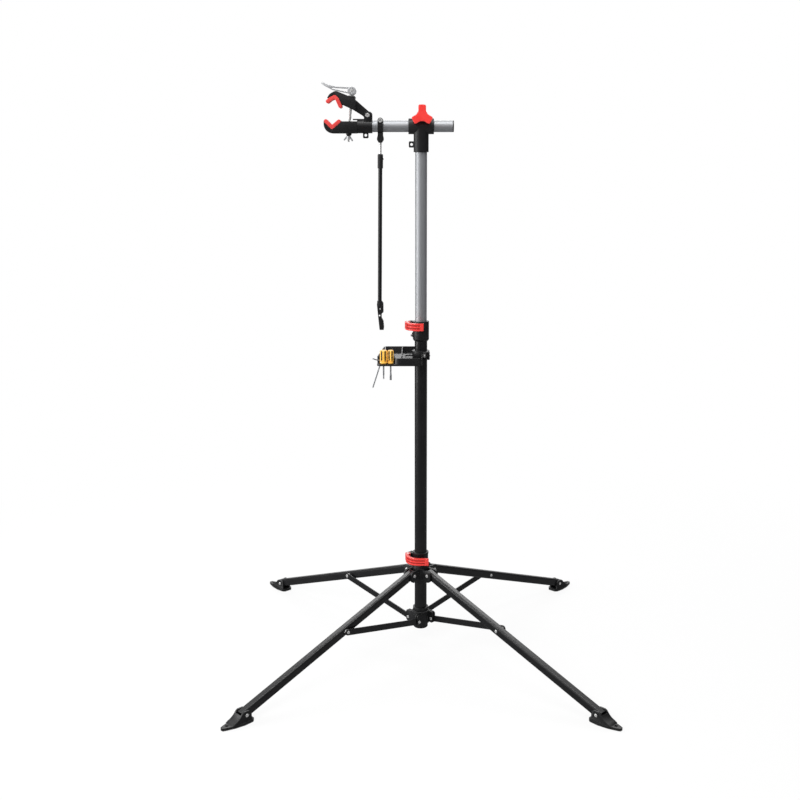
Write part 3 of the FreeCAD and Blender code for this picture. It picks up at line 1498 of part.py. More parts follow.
def build_rod():
    inner_rod = new_body("rod_inner")
    top = -s.strap_bottom + s.rod_inner_grip
    slab(inner_rod, "XY", s.rod_inner_stop - rod_tube_bottom, top, (0.0, 0.0, s.rod_inner_radius))
    in_rod_frame(inner_rod)

    sleeve = new_body("rod_lock_sleeve")
    neck = s.rod_inner_radius + s.guide_clearance
    seat = s.rod_tube_radius + s.pin_clearance
    turned(
        sleeve,
        [
            (neck, -s.lock_sleeve_top),
            (s.lock_sleeve_radius - 1.5, -s.lock_sleeve_top),
            (s.lock_sleeve_radius, -s.lock_sleeve_top - 2.0),
            (s.lock_sleeve_radius, -s.lock_sleeve_bottom),
            (seat, -s.lock_sleeve_bottom),
            (seat, -s.lock_sleeve_bottom + s.rod_tube_grip),
            (neck, -s.lock_sleeve_bottom + s.rod_tube_grip),
        ],
    )
    reach = s.lock_sleeve_radius + 1.4
    bump = [(4.0, -97.0), (reach, -95.0), (reach, -91.0), (4.0, -89.0)]
    slab(sleeve, "XZ", -2.5, 2.5, bump)
    clear = (0.0, 0.0, neck)
    cut(sleeve, "XY", -s.lock_sleeve_bottom - 1.0, -s.lock_sleeve_top + 1.0, clear)
    in_rod_frame(sleeve)

    rod_tube = new_body("rod_tube")
    tube_top = -s.lock_sleeve_bottom + s.rod_tube_grip - s.seat_gap
    tube(rod_tube, s.rod_tube_radius, s.rod_tube_wall, -rod_tube_bottom, tube_top)
    in_rod_frame(rod_tube)


def build_end_strap():
    """Rubber end strap: a socket round the tube's end and a holed, notched tongue."""
    top = -number(rod_tube_bottom) + number(s.end_strap_socket)
    bottom = -number(rod_tube_bottom + s.end_strap_drop)
    socket_floor = -number(rod_tube_bottom)
    outline = [
        (-6.5, top),
        (7.0, top),
        (11.0, top - 6.0),
        (11.5, top - 33.0),
        (6.0, top - 38.0),
        (6.0, top - 50.0),
        (11.5, top - 60.0),
        (13.5, bottom + 12.0),
        (12.5, bottom),
        (0.0, bottom),
        (-3.5, top - 57.0),
        (-8.5, top - 10.0),
    ]
    rounds = [1.5, 2.5, 4.0, 4.0, 4.0, 8.0, 5.0, 3.0, 1.5, 1.5, 10.0, 6.0]
    solid = across(rounded_face(outline, rounds), s.end_strap_thickness)
    socket_radius = number(s.rod_tube_radius + s.seat_gap)
    ring = Part.makeCylinder(socket_radius + 1.6, number(s.end_strap_socket), Vector(0, 0, socket_floor))
    socket = Part.makeCylinder(socket_radius, 60.0, Vector(0, 0, socket_floor - number(s.seat_gap)))
    hole = pin_across(-0.5, top - 44.0, s.end_strap_hole_radius, -20.0, 20.0)
    hinge_pin = pin_across(1.0, top - 24.0, 2.0, -20.0, 20.0)
    solid = solid.fuse(ring).cut(socket).cut(hole).cut(hinge_pin)
    for level in (top - 66.0, top - 74.0):
        notch = Part.makeBox(4.0, 40.0, 2.2, Vector(11.3, -20.0, level))
        solid = solid.cut(notch)
    feature = new_feature("rod_end_strap", solid.removeSplitter())
    in_rod_frame(feature)


def tray_plan(inset):
    """The tray's outer plan drawn in by an inset."""
    left = -s.tray_left + inset
    right = s.tray_right - inset
    near = -s.tray_near + inset
    far = s.tray_far - inset
    return [
        (-s.shelf_right + inset, near),
        (right, near),
        (right, far),
        (-s.tray_far_left + inset, far),
        (left, -s.shelf_back + inset),
        (-s.shelf_right + inset, -s.shelf_back + inset),
    ]


def build_tray():
    """Tray with a floor, walls, a tool shelf, a divider, a cup hole and a clamp ring."""
    body = new_body("tool_tray")
    floor_top = s.tray_bottom + s.tray_floor
    slab(body, "XY", s.tray_bottom, s.tray_rim, tray_plan(0.0))
    shelf = [
        (-s.tray_left, -s.tray_near),
        (-s.shelf_right + 1.0, -s.tray_near),
        (-s.shelf_right + 1.0, -s.shelf_back + 1.0),
        (-s.tray_left, -s.shelf_back + 1.0),
    ]
    slab(body, "XY", s.tray_bottom, floor_top, shelf)

    def outer_corner(edge):
        middle = edge.CenterOfMass
        near_side = middle.y < -number(s.tray_near) + 1e-6
        far_side = middle.y > number(s.tray_far) - 1e-6
        return along(edge, Vector(0, 0, 1)) and (near_side or far_side)

    fillet(body, s.tray_corner, outer_corner)
    cut(body, "XY", floor_top, s.tray_rim + 1.0, tray_plan(s.tray_wall))
    divider = [
        (-s.divider_x - s.tray_wall / 2, -s.shelf_back),
        (-s.divider_x + s.tray_wall / 2, -s.shelf_back),
        (-s.divider_x + s.tray_wall / 2, s.tray_far - 1.0),
        (-s.divider_x - s.tray_wall / 2, s.tray_far - 1.0),
    ]
    slab(body, "XY", s.tray_bottom + 1.0, s.tray_rim, divider)
    pocket_right = -s.pocket_right
    pocket_front = s.tray_far - s.pocket_depth
    partition = [
        (pocket_right, pocket_front),
        (pocket_right + s.tray_wall, pocket_front),
        (pocket_right + s.tray_wall, s.tray_far - 1.0),
        (pocket_right, s.tray_far - 1.0),
    ]
    slab(body, "XY", s.tray_bottom + 1.0, s.pocket_top, partition)
    lip = [
        (-s.divider_x, pocket_front),
        (pocket_right + 1.0, pocket_front),
        (pocket_right + 1.0, pocket_front + s.tray_wall),
        (-s.divider_x, pocket_front + s.tray_wall),
    ]
    slab(body, "XY", s.tray_bottom + 1.0, s.pocket_lip_top, lip)
    ring = (0.0, 0.0, s.tray_ring_radius)
    slab(body, "XY", s.tray_ring_bottom, s.tray_ring_top, ring)
    side = s.clamp_slit / 2 + s.tray_ear_thickness
    reach = s.tray_ear_reach
    ear = [
        (0.0, s.tray_ring_bottom),
        (reach, s.tray_ring_bottom),
        (reach, s.tray_ring_top),
        (0.0, s.tray_ring_top),
    ]
    slab(body, "XZ", -side, side, ear, turn=s.tray_ear_angle)
    bore = s.lower_tube_radius + s.guide_clearance
    cut(body, "XY", s.tray_bottom - 1.0, s.tray_ring_top + 1.0, (0.0, 0.0, bore))
    slit = [
        (bore - 3.0, s.tray_bottom - 1.0),
        (reach + 1.0, s.tray_bottom - 1.0),
        (reach + 1.0, s.tray_ring_top + 1.0),
        (bore - 3.0, s.tray_ring_top + 1.0),
    ]
    cut(body, "XZ", -s.clamp_slit / 2, s.clamp_slit / 2, slit, turn=s.tray_ear_angle)
    bolt_level = (s.tray_ring_bottom + s.tray_ring_top) / 2
    bolt_hole = (s.tray_bolt_reach, bolt_level, s.tray_bolt_radius + s.press_clearance)
    cut(body, "XZ", -side - 1.0, side + 1.0, bolt_hole, turn=s.tray_ear_angle)
    cup = (-s.cup_x, s.cup_y, s.cup_radius)
    cut(body, "XY", floor_top - s.cup_depth, floor_top + 1.0, cup)
    top = s.tray_rim + 1.0
    for step in (-2.0, -1.0, 0.0, 1.0):
        middle = s.comb_slot_pitch * step
        low = top - s.comb_slot_depth
        slot = [
            (middle - s.comb_slot_width / 2, low),
            (middle + s.comb_slot_width / 2, low),
            (middle + s.comb_slot_width / 2, top),
            (middle - s.comb_slot_width / 2, top),
        ]
        cut(body, "YZ", -s.tray_left - 1.0, -s.tray_left + s.comb_depth, slot)
    shaft_hole = s.driver_shaft_radius + s.seat_gap
    tool_holes = [
        (-s.driver_left_x, -s.driver_y, shaft_hole),
        (-s.driver_right_x, -s.driver_y, s.driver_blade_width / 2 + s.seat_gap),
        (-s.hex_key_x, -s.hex_key_y, s.hex_hole_radius),
    ]
    cut(body, "XY", s.tray_bottom - 1.0, floor_top + 1.0, *tool_holes)


def build_tray_bolt():
    body = new_body("tray_clamp_bolt")
    side = s.clamp_slit / 2 + s.tray_ear_thickness
    level = (s.tray_ring_bottom + s.tray_ring_top) / 2
    shank = (s.tray_bolt_reach, level, s.tray_bolt_radius)
    head = (s.tray_bolt_reach, level, s.tray_bolt_head_radius)
    head_end = -side - s.tray_bolt_head_height
    slab(body, "XZ", head_end, -side, head, turn=s.tray_ear_angle)
    slab(body, "XZ", -side, side + 4.0, shank, turn=s.tray_ear_angle)


def build_driver(name, x, wide, tip, blade):
    """Screwdriver in a frame on its own axis, with its handle standing on the shelf."""
    handle = new_body("driver_%s_handle" % name)
    bottom = s.tray_bottom + s.tray_floor + s.seat_gap
    top = s.driver_handle_top
    bore = s.driver_shaft_radius + s.press_clearance
    grip_top = bottom + s.driver_shaft_grip
    guard = bottom + s.driver_guard_height
    turned(
        handle,
        [
            (0.0, grip_top),
            (bore, grip_top),
            (bore, bottom),
            (wide - 2.0, bottom),
            (wide, bottom + 2.0),
            (wide, guard - 1.5),
            (wide - 2.2, guard),
            (wide, guard + 2.0),
            (wide, top - 2.5),
            (wide - 2.0, top),
            (0.0, top),
        ],
    )
    sketch = new_sketch(handle, "XY", guard + 2.0)
    add_circle(sketch, wide + s.driver_flute_outset, 0.0, s.driver_flute_radius)
    flute = handle.newObject("PartDesign::Pocket", "driver_%s_flute" % name)
    flute.Profile = sketch
    bind(flute, "Length", top - guard)
    flute.Reversed = True
    pattern = handle.newObject("PartDesign::PolarPattern", "driver_%s_flutes" % name)
    pattern.Originals = [flute]
    pattern.Axis = (origin_axis(handle, "Z_Axis"), [""])
    pattern.Angle = 360
    pattern.Occurrences = 6
    handle.Tip = pattern
    place(handle, -x, -s.driver_y, 0.0)

    shaft = new_body("driver_%s_shaft" % name)
    slab(shaft, "XY", tip + s.driver_blade_length, grip_top, (0.0, 0.0, s.driver_shaft_radius))
    if blade:
        half = s.driver_blade_width / 2
        thin = s.driver_blade_thickness / 2
        flat_blade = [(-half, -thin), (half, -thin), (half, thin), (-half, thin)]
        slab(shaft, "XY", tip, tip + s.driver_blade_length + 4.0, flat_blade)
    else:
        slab(shaft, "XY", tip, tip + s.driver_blade_length, (0.0, 0.0, s.driver_shaft_radius * 0.8))
    place(shaft, -x, -s.driver_y, 0.0)


def origin_axis(body, role):
    for feature in body.Origin.OriginFeatures:
        if feature.Role == role:
            return feature
    return None


def build_hex_key():
    """Bent hex key: the long arm hangs down through the shelf, the short arm points left."""
    lean = math.radians(number(s.hex_key_lean))
    down = Vector(-math.sin(lean), 0, -math.cos(lean))
    start = Vector(0, 0, 0)
    bend = number(s.hex_key_bend)
    out = Vector(-math.cos(lean), 0, math.sin(lean))
    lower = start + down * number(s.hex_key_long_arm)
    corner_low = start + down * bend
    corner_out = start + out * bend
    far = start + out * number(s.hex_key_short_arm)
    centre = start + down * bend + out * bend
    middle = centre + (start - centre).normalize() * bend
    path = Part.Wire(
        [
            Part.LineSegment(lower, corner_low).toShape(),
            Part.Arc(corner_low, middle, corner_out).toShape(),
            Part.LineSegment(corner_out, far).toShape(),
        ]
    )
    radius = number(s.hex_key_radius)
    ring = Part.Wire(Part.Circle(lower, down, radius).toShape())
    solid = path.makePipeShell([ring], True, True)
    level = s.tray_bottom + s.tray_floor + s.hex_key_rise
    above_hole = s.hex_key_rise + s.tray_floor / 2
    shift = above_hole * sine(s.hex_key_lean) / cosine(s.hex_key_lean)
    new_feature("hex_key", solid, -s.hex_key_x + shift, -s.hex_key_y, level)


def build_all():
    build_lower_tube()
    build_lower_hub()
    build_lower_hub_rivets()
    build_sliding_hub()
    build_sliding_hub_rivets()
    build_clamp_bolt("hub_clamp_bolt", hub_lever_bottom)
    build_lever("hub_lever", hub_lever_bottom, s.hub_lever_arc, s.hub_lever_tip)
    build_mast_collar()
    build_guide_screw()
    build_clamp_bolt("collar_clamp_bolt", collar_lever_bottom)
    build_lever("collar_lever", collar_lever_bottom, s.collar_lever_arc, s.collar_lever_tip)
    for name, angle in LEG_ANGLES.items():
        build_leg(name, angle)
        build_leg_rivets(name, angle)
        build_brace(name, angle)
        build_brace_rivet(name, angle)
        build_foot(name, angle)
    build_glide_plug()
    build_upper_tube()
    build_tee()
    build_knob()
    build_arm()
    build_clamp_head()
    build_pads()
    build_jaw_hinge_bolt()
    build_upper_jaw()
    build_skewer()
    build_cam_lever()
    build_cam_washer()
    build_dome_washer()
    build_wing_nut()
    build_handlebar_strap()
    build_strap_eyelet()
    build_rod()
    build_end_strap()
    build_tray()
    build_tray_bolt()
    build_driver("left", s.driver_left_x, s.driver_left_radius, s.driver_left_tip, False)
    build_driver("right", s.driver_right_x, s.driver_right_radius, s.driver_right_tip, True)
    build_hex_key()


def check_and_export():
    """Stops on any failed feature or bad solid, then writes one STEP file per piece."""
    doc.recompute()
    faults = []
    for item in doc.Objects:
        if "Invalid" in item.State or "Error" in item.State:
            faults.append("%s: %s" % (item.Label, item.State))
    for piece in finished:
        shape = piece.Shape
        if shape.isNull() or not shape.isValid() or not shape.Solids:
            faults.append("%s: bad shape" % piece.Label)
    if faults:
        raise RuntimeError("; ".join(faults))
    os.makedirs("parts", exist_ok=True)
    for piece in finished:
        piece.Shape.exportStep("parts/%s.step" % piece.Label)
    print("pieces written:", len(finished))


build_all()
check_and_export()
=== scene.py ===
"""Folding bicycle repair stand: finishes, small fittings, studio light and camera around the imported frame."""
import json
import math

import bmesh
import bpy
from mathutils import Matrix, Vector


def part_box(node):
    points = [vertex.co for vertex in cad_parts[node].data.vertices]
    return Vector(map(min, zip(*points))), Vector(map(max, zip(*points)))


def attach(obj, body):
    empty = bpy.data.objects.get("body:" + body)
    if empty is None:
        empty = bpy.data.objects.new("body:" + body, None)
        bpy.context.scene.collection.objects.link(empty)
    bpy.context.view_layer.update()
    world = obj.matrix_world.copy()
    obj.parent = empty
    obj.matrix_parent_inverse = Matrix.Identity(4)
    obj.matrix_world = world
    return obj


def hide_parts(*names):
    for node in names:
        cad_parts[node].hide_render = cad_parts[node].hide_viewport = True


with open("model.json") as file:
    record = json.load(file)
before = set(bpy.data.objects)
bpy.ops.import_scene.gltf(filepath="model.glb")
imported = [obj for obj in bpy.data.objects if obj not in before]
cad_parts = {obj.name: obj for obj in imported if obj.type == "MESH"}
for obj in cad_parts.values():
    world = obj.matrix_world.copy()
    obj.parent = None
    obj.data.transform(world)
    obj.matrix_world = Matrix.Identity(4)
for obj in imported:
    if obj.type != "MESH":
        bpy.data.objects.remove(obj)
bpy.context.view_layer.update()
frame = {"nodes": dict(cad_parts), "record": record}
NODES = frame["nodes"]
RECORD = frame["record"]
SLOT_OF = {part["node"]: part["material_slot"] for part in RECORD["subparts"]}
BODY_OF = {node: body for body, nodes in RECORD["behaviour"]["bodies"].items() for node in nodes}
MM = 0.001


# Camera, fitted to the rivets of the four legs and to the sides of the mast.
FOCAL_PIXELS = 1137.2
IMAGE_PIXELS = 800
SENSOR_WIDTH = 36.0
CAMERA_PLACE = (-0.0181, -3.401, 1.545)
CAMERA_PITCH = math.radians(77.79)
MAST_COLUMN = 414.95

camera_lens = bpy.data.cameras.new("photo_camera")
camera_lens.sensor_width = SENSOR_WIDTH
camera_lens.lens = SENSOR_WIDTH * FOCAL_PIXELS / IMAGE_PIXELS
camera_lens.shift_x = (IMAGE_PIXELS / 2 - MAST_COLUMN) / IMAGE_PIXELS
camera = bpy.data.objects.new("photo_camera", camera_lens)
camera.location = CAMERA_PLACE
camera.rotation_euler = (CAMERA_PITCH, 0.0, 0.0)
bpy.context.scene.collection.objects.link(camera)
bpy.context.scene.camera = camera


# Finishes

EVEN = (1.0, 1.0, 1.0)
DARK_SHARE = 0.35
LIGHT_SHARE = 0.65
CLOUD = {"Detail": 4.0, "Roughness": 0.6}
GRAIN = {"Detail": 3.0, "Roughness": 0.55}
BUMP_STRENGTH = 0.6
SOFT_EDGE_SAMPLES = 6


def linear(code):
    """Linear colour of an sRGB hex value such as "C8C9CB"."""
    parts = [int(code[i:i + 2], 16) / 255 for i in (0, 2, 4)]
    return [p / 12.92 if p <= 0.04045 else ((p + 0.055) / 1.055) ** 2.4 for p in parts] + [1.0]


def clear_tree(owner):
    """Gives a material or a world an empty node tree."""
    owner.use_nodes = True
    owner.node_tree.nodes.clear()
    return owner


def add_node(owner, kind, settings=None, links=None):
    """A node of that kind, with its settings and inputs, and links from (node, output) to each input."""
    node = owner.node_tree.nodes.new(kind)
    for name, value in (settings or {}).items():
        if hasattr(node, name):
            setattr(node, name, value)
        else:
            node.inputs[name].default_value = value
    for name, (source, output) in (links or {}).items():
        connect(owner, source, output, node, name)
    return node


def connect(owner, source, output, target, name):
    owner.node_tree.links.new(source.outputs[output], target.inputs[name])


def two_tones(material, shader, place, dark, light, patch, stretch=EVEN):
    """Base colour that drifts between two close tones in patches of that size in millimetres."""
    spread = add_node(material, "ShaderNodeMapping", {"Scale": stretch}, {"Vector": (place, "Object")})
    cloud = add_node(material, "ShaderNodeTexNoise", {"Scale": 1000 / patch, **CLOUD},
                     {"Vector": (spread, "Vector")})
    ramp = add_node(material, "ShaderNodeValToRGB", links={"Fac": (cloud, "Fac")})
    for element, share, tone in zip(ramp.color_ramp.elements, (DARK_SHARE, LIGHT_SHARE), (dark, light)):
        element.position = share
        element.color = linear(tone)
    connect(material, ramp, "Color", shader, "Base Color")


def grain(material, shader, place, size, height, low, high, stretch=EVEN, soft_edge=0.0):
    """Surface grain of that size and height in millimetres, and the roughness that goes with it."""
    spread = add_node(material, "ShaderNodeMapping", {"Scale": stretch}, {"Vector": (place, "Object")})
    noise = add_node(material, "ShaderNodeTexNoise", {"Scale": 1000 / size, **GRAIN},
                     {"Vector": (spread, "Vector")})
    rough = add_node(material, "ShaderNodeMapRange", {"To Min": low, "To Max": high},
                     {"Value": (noise, "Fac")})
    connect(material, rough, "Result", shader, "Roughness")
    bump = add_node(material, "ShaderNodeBump", {"Strength": BUMP_STRENGTH, "Distance": height * MM},
                    {"Height": (noise, "Fac")})
    if soft_edge:
        edge = add_node(material, "ShaderNodeBevel", {"samples": SOFT_EDGE_SAMPLES, "Radius": soft_edge * MM})
        connect(material, edge, "Normal", bump, "Normal")
    connect(material, bump, "Normal", shader, "Normal")


def make_finish(name, sockets, tones, skin):
    """A finish with plain values on the shader's own sockets, its two tones and its grain."""
    material = clear_tree(bpy.data.materials.new(name))
    shader = add_node(material, "ShaderNodeBsdfPrincipled", sockets)
    add_node(material, "ShaderNodeOutputMaterial", links={"Surface": (shader, "BSDF")})
    place = add_node(material, "ShaderNodeTexCoord")
    two_tones(material, shader, place, **tones)
    grain(material, shader, place, **skin)
    return material


# Satin black powder coat on steel tube: near black, a soft sheen broken by fine orange peel.
# The peel is 0.8 mm on the real coat and drawn at 1.6 mm, so that it shows.
powder_coat = make_finish(
    "satin_black_powder_coat", {"IOR": 1.5, "Specular IOR Level": 0.45},
    {"dark": "111112", "light": "171718", "patch": 60},
    {"size": 1.6, "height": 0.02, "low": 0.26, "high": 0.34, "soft_edge": 2.5})

# Glass-filled nylon moulding: matt black with the mould's spark-eroded grain, about 0.5 mm,
# drawn at 1.2 mm, and edges rounded by the tool.
black_moulding = make_finish(
    "black_nylon_moulding", {"IOR": 1.53, "Specular IOR Level": 0.45},
    {"dark": "101011", "light": "161617", "patch": 40},
    {"size": 1.2, "height": 0.03, "low": 0.4, "high": 0.5, "soft_edge": 0.7})

# Black moulded rubber: no shine, a dusty look and soft edges.
black_rubber = make_finish(
    "black_moulded_rubber", {"IOR": 1.52, "Specular IOR Level": 0.4},
    {"dark": "121213", "light": "19191A", "patch": 25},
    {"size": 0.9, "height": 0.03, "low": 0.46, "high": 0.6, "soft_edge": 0.5})


def drawn_tube(name, stretch):
    """Satin anodised aluminium tube: soft broad highlight, with the fine lines of the drawing die along it.

    The lines are 0.3 mm apart on the real tube and drawn 1.5 mm apart, so that they show.
    """
    return make_finish(
        name, {"Metallic": 0.85},
        {"dark": "AAACAF", "light": "B1B3B6", "patch": 12, "stretch": stretch},
        {"size": 1.5, "height": 0.0015, "low": 0.52, "high": 0.58, "stretch": stretch})


upright_tube = drawn_tube("satin_anodised_aluminium_upright", (1.0, 1.0, 0.01))
level_tube = drawn_tube("satin_anodised_aluminium_level", (0.01, 1.0, 1.0))

# Die-cast aluminium, tumbled: a duller silver with a faintly uneven skin.
cast_metal = make_finish(
    "tumbled_cast_aluminium", {"Metallic": 0.6},
    {"dark": "BFC0C2", "light": "CCCDCF", "patch": 9},
    {"size": 1.4, "height": 0.012, "low": 0.36, "high": 0.46, "soft_edge": 0.6})

# Bright zinc plate on steel: pale, fairly sharp reflections, small cloudy patches.
zinc_plate = make_finish(
    "bright_zinc_plate", {"Metallic": 0.7},
    {"dark": "D6D6D4", "light": "E2E2E1", "patch": 4},
    {"size": 0.8, "height": 0.003, "low": 0.3, "high": 0.4, "soft_edge": 0.4})

# Hardened tool steel: mid grey, brushed across by the grinding belt.
tool_steel = make_finish(
    "ground_tool_steel", {"Metallic": 0.7},
    {"dark": "8E9093", "light": "A0A2A5", "patch": 3, "stretch": (1.0, 1.0, 3.0)},
    {"size": 0.6, "height": 0.003, "low": 0.3, "high": 0.42, "stretch": (1.0, 1.0, 4.0), "soft_edge": 0.3})

# Red moulded nylon of the levers and knob: semi-gloss, even colour, a hint of mould grain.
red_moulding = make_finish(
    "red_nylon_moulding", {"IOR": 1.53, "Specular IOR Level": 0.5},
    {"dark": "DE332E", "light": "E63B35", "patch": 30},
    {"size": 1.0, "height": 0.015, "low": 0.3, "high": 0.4, "soft_edge": 0.7})

# The same red in the levers' moulded grooves, darker as painted shade for the shadow in the grooves, and
# duller.
painted_shade_red = make_finish(
    "red_nylon_painted_groove_shade", {"IOR": 1.53, "Specular IOR Level": 0.3},
    {"dark": "961D19", "light": "A82420", "patch": 20},
    {"size": 1.0, "height": 0.02, "low": 0.5, "high": 0.6})

# Soft red jaw pad: thermoplastic rubber, matt, slightly chalky where it has been gripped.
red_pad = make_finish(
    "soft_red_jaw_rubber", {"IOR": 1.5, "Specular IOR Level": 0.35},
    {"dark": "C63936", "light": "CF4441", "patch": 14},
    {"size": 0.9, "height": 0.03, "low": 0.5, "high": 0.62, "soft_edge": 0.8})

# Amber acetate of the screwdriver handles: glossy, and a bright yellow in place of the light that
# the clear material carries inside.
amber_handle = make_finish(
    "amber_acetate", {"IOR": 1.47, "Specular IOR Level": 0.5},
    {"dark": "F8B844", "light": "FFCB66", "patch": 8},
    {"size": 1.0, "height": 0.02, "low": 0.14, "high": 0.24, "soft_edge": 0.6})

FINISHES = {
    "black_steel": powder_coat, "black_plastic": black_moulding, "black_rubber": black_rubber,
    "silver_tube": upright_tube, "cast_silver": cast_metal, "bright_steel": zinc_plate, "zinc": zinc_plate,
    "tool_steel": tool_steel, "red_plastic": red_moulding, "red_pad": red_pad, "yellow_plastic": amber_handle,
}
for node_name, node_object in NODES.items():
    finish = FINISHES[SLOT_OF[node_name]]
    if node_name == "arm_tube":
        finish = level_tube
    node_object.data.materials.clear()
    node_object.data.materials.append(finish)


# Small fittings, modelled here

SMOOTH_ANGLE = math.radians(35)
BAR_SIDES = 32
BAR_BEVEL_SEGMENTS = 3
BAR_BEVEL_ANGLE = math.radians(60)
MERGE_DISTANCE = 0.02 * MM
FLAT_ANGLE = math.radians(1.0)
SOFT_SEGMENTS = 2
SOFT_ANGLE = math.radians(30)


def deselect_all():
    bpy.ops.object.select_all(action="DESELECT")


def select_only(piece):
    deselect_all()
    piece.select_set(True)
    bpy.context.view_layer.objects.active = piece


def select_edges(piece, wanted):
    """Selects the piece's edges that a rule on their two ends accepts, in edit mode."""
    bpy.ops.mesh.select_mode(type="EDGE")
    bpy.ops.mesh.select_all(action="DESELECT")
    mesh = bmesh.from_edit_mesh(piece.data)
    for edge in mesh.edges:
        if wanted(edge.verts[0].co, edge.verts[1].co):
            edge.select_set(True)
    bmesh.update_edit_mesh(piece.data)


def apply_modifier(piece, kind, **settings):
    modifier = piece.modifiers.new(kind.lower(), kind)
    for name, value in settings.items():
        setattr(modifier, name, value)
    bpy.context.view_layer.objects.active = piece
    bpy.ops.object.modifier_apply(modifier=modifier.name)


def round_edges(piece, width, segments, angle):
    """Rounds the edges that are sharper than that angle."""
    apply_modifier(piece, "BEVEL", width=width, segments=segments, limit_method="ANGLE", angle_limit=angle)


def join(pieces):
    """One piece of several, the first keeping its place in the list of objects."""
    deselect_all()
    for piece in pieces:
        piece.select_set(True)
    bpy.context.view_layer.objects.active = pieces[0]
    bpy.ops.object.join()
    return pieces[0]


def finish_piece(piece, name, body, finish, replaced=()):
    """Applies the piece's place, gives it its name and finish, hangs it on its body's empty and hides the nodes
    it stands for.
    """
    piece.name = name
    piece.data.name = name
    select_only(piece)
    bpy.ops.object.transform_apply(location=True, rotation=True, scale=True)
    bpy.ops.object.shade_smooth_by_angle(angle=SMOOTH_ANGLE)
    piece.data.materials.clear()
    piece.data.materials.append(finish)
    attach(piece, body)
    if replaced:
        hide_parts(*replaced)


def round_bar(radius, length, place=(0.0, 0.0, 0.0), turn=(0.0, 0.0, 0.0), sides=BAR_SIDES, bevel=0.0):
    """Round bar about its own middle, with bevelled ends if a bevel is given."""
    deselect_all()
    bpy.ops.mesh.primitive_cylinder_add(vertices=sides, radius=radius, depth=length,
                                        location=place, rotation=turn)
    bar = bpy.context.object
    if bevel:
        round_edges(bar, bevel, BAR_BEVEL_SEGMENTS, BAR_BEVEL_ANGLE)
    return bar


def merged_copy(node):
    """A copy of a CAD node as one closed mesh of large flat faces."""
    piece = NODES[node].copy()
    piece.data = piece.data.copy()
    bpy.context.scene.collection.objects.link(piece)
    select_only(piece)
    bpy.ops.object.mode_set(mode="EDIT")
    bpy.ops.mesh.select_all(action="SELECT")
    bpy.ops.mesh.remove_doubles(threshold=MERGE_DISTANCE)
    bpy.ops.mesh.dissolve_limited(angle_limit=FLAT_ANGLE)
    bpy.ops.object.mode_set(mode="OBJECT")
    return piece


def soften(piece, node, width):
    """Rounds the sharp edges of a moulding, as they leave the tool, and lets it stand for its node."""
    round_edges(piece, width, SOFT_SEGMENTS, SOFT_ANGLE)
    finish = NODES[node].data.materials[0]
    finish_piece(piece, node + "_moulded", BODY_OF[node], finish, (node,))


# Width of each moulding's rounded edges, in millimetres.
SOFT_EDGES = {
    "sliding_hub": 0.8, "lower_hub": 0.8, "mast_collar": 0.8, "tee": 0.8, "clamp_head": 0.8, "upper_jaw": 0.8,
    "tool_tray": 1.1, "hub_lever": 0.6, "collar_lever": 0.6, "tee_knob": 1.2, "cam_lever": 0.5,
    "lower_jaw_pad": 1.2, "upper_jaw_pad": 1.2, "wing_nut": 0.5,
}
for node_name, edge_width in SOFT_EDGES.items():
    soften(merged_copy(node_name), node_name, edge_width * MM)


# Each lever's two grooves get the darker red of painted shade: the upright faces near the height of each
# groove.
GROOVE_RISES = (6.6 * MM, 15.4 * MM)
GROOVE_BAND = 1.9 * MM
UPRIGHT_FACE = 0.3
for node_name in ("hub_lever", "collar_lever"):
    lever = bpy.data.objects[node_name + "_moulded"]
    lever.data.materials.append(painted_shade_red)
    foot_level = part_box(node_name)[0][2]
    for face in lever.data.polygons:
        rise = face.center.z - foot_level
        near_groove = min(abs(rise - groove) for groove in GROOVE_RISES) < GROOVE_BAND
        if abs(face.normal.z) < UPRIGHT_FACE and near_groove:
            face.material_index = 1


# The knob's stud, which shows behind the tee, is plated steel.
KNOB_THICKNESS = 18.0 * MM
STUD_CLEARANCE = 0.5 * MM
knob = bpy.data.objects["tee_knob_moulded"]
knob.data.materials.append(zinc_plate)
knob_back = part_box("tee_knob")[0][1] + KNOB_THICKNESS
for face in knob.data.polygons:
    if face.center.y > knob_back + STUD_CLEARANCE:
        face.material_index = 1


# Feet: the moulded shoe with its nose rounded and a hollow sweep from the ears down to the toe.
FOOT_ANGLES = {"front_left": 225.0, "front_right": 315.0, "back_left": 135.0, "back_right": 45.0}
FOOT_PIVOT_RADIUS = 700.0 * MM
FOOT_PIVOT_HEIGHT = 25.0 * MM
FOOT_SOFT_EDGE = 0.8 * MM
SOLE_TOP = 8.0 * MM
CORNER_ROUND = 5.0 * MM
CORNER_SEGMENTS = 4
CORNER_TOLERANCE = 0.1 * MM
SWEEP_RADIUS = 48.0 * MM
SWEEP_WIDTH = 80.0 * MM
SWEEP_SIDES = 96
SWEEP_STATION = 56.0 * MM
SWEEP_HEIGHT = 33.5 * MM


def is_sole_corner(start, end):
    """Whether an edge stands upright and is as tall as the sole."""
    upright = (start - end).xy.length < CORNER_TOLERANCE
    return upright and abs(abs(start.z - end.z) - SOLE_TOP) < CORNER_TOLERANCE


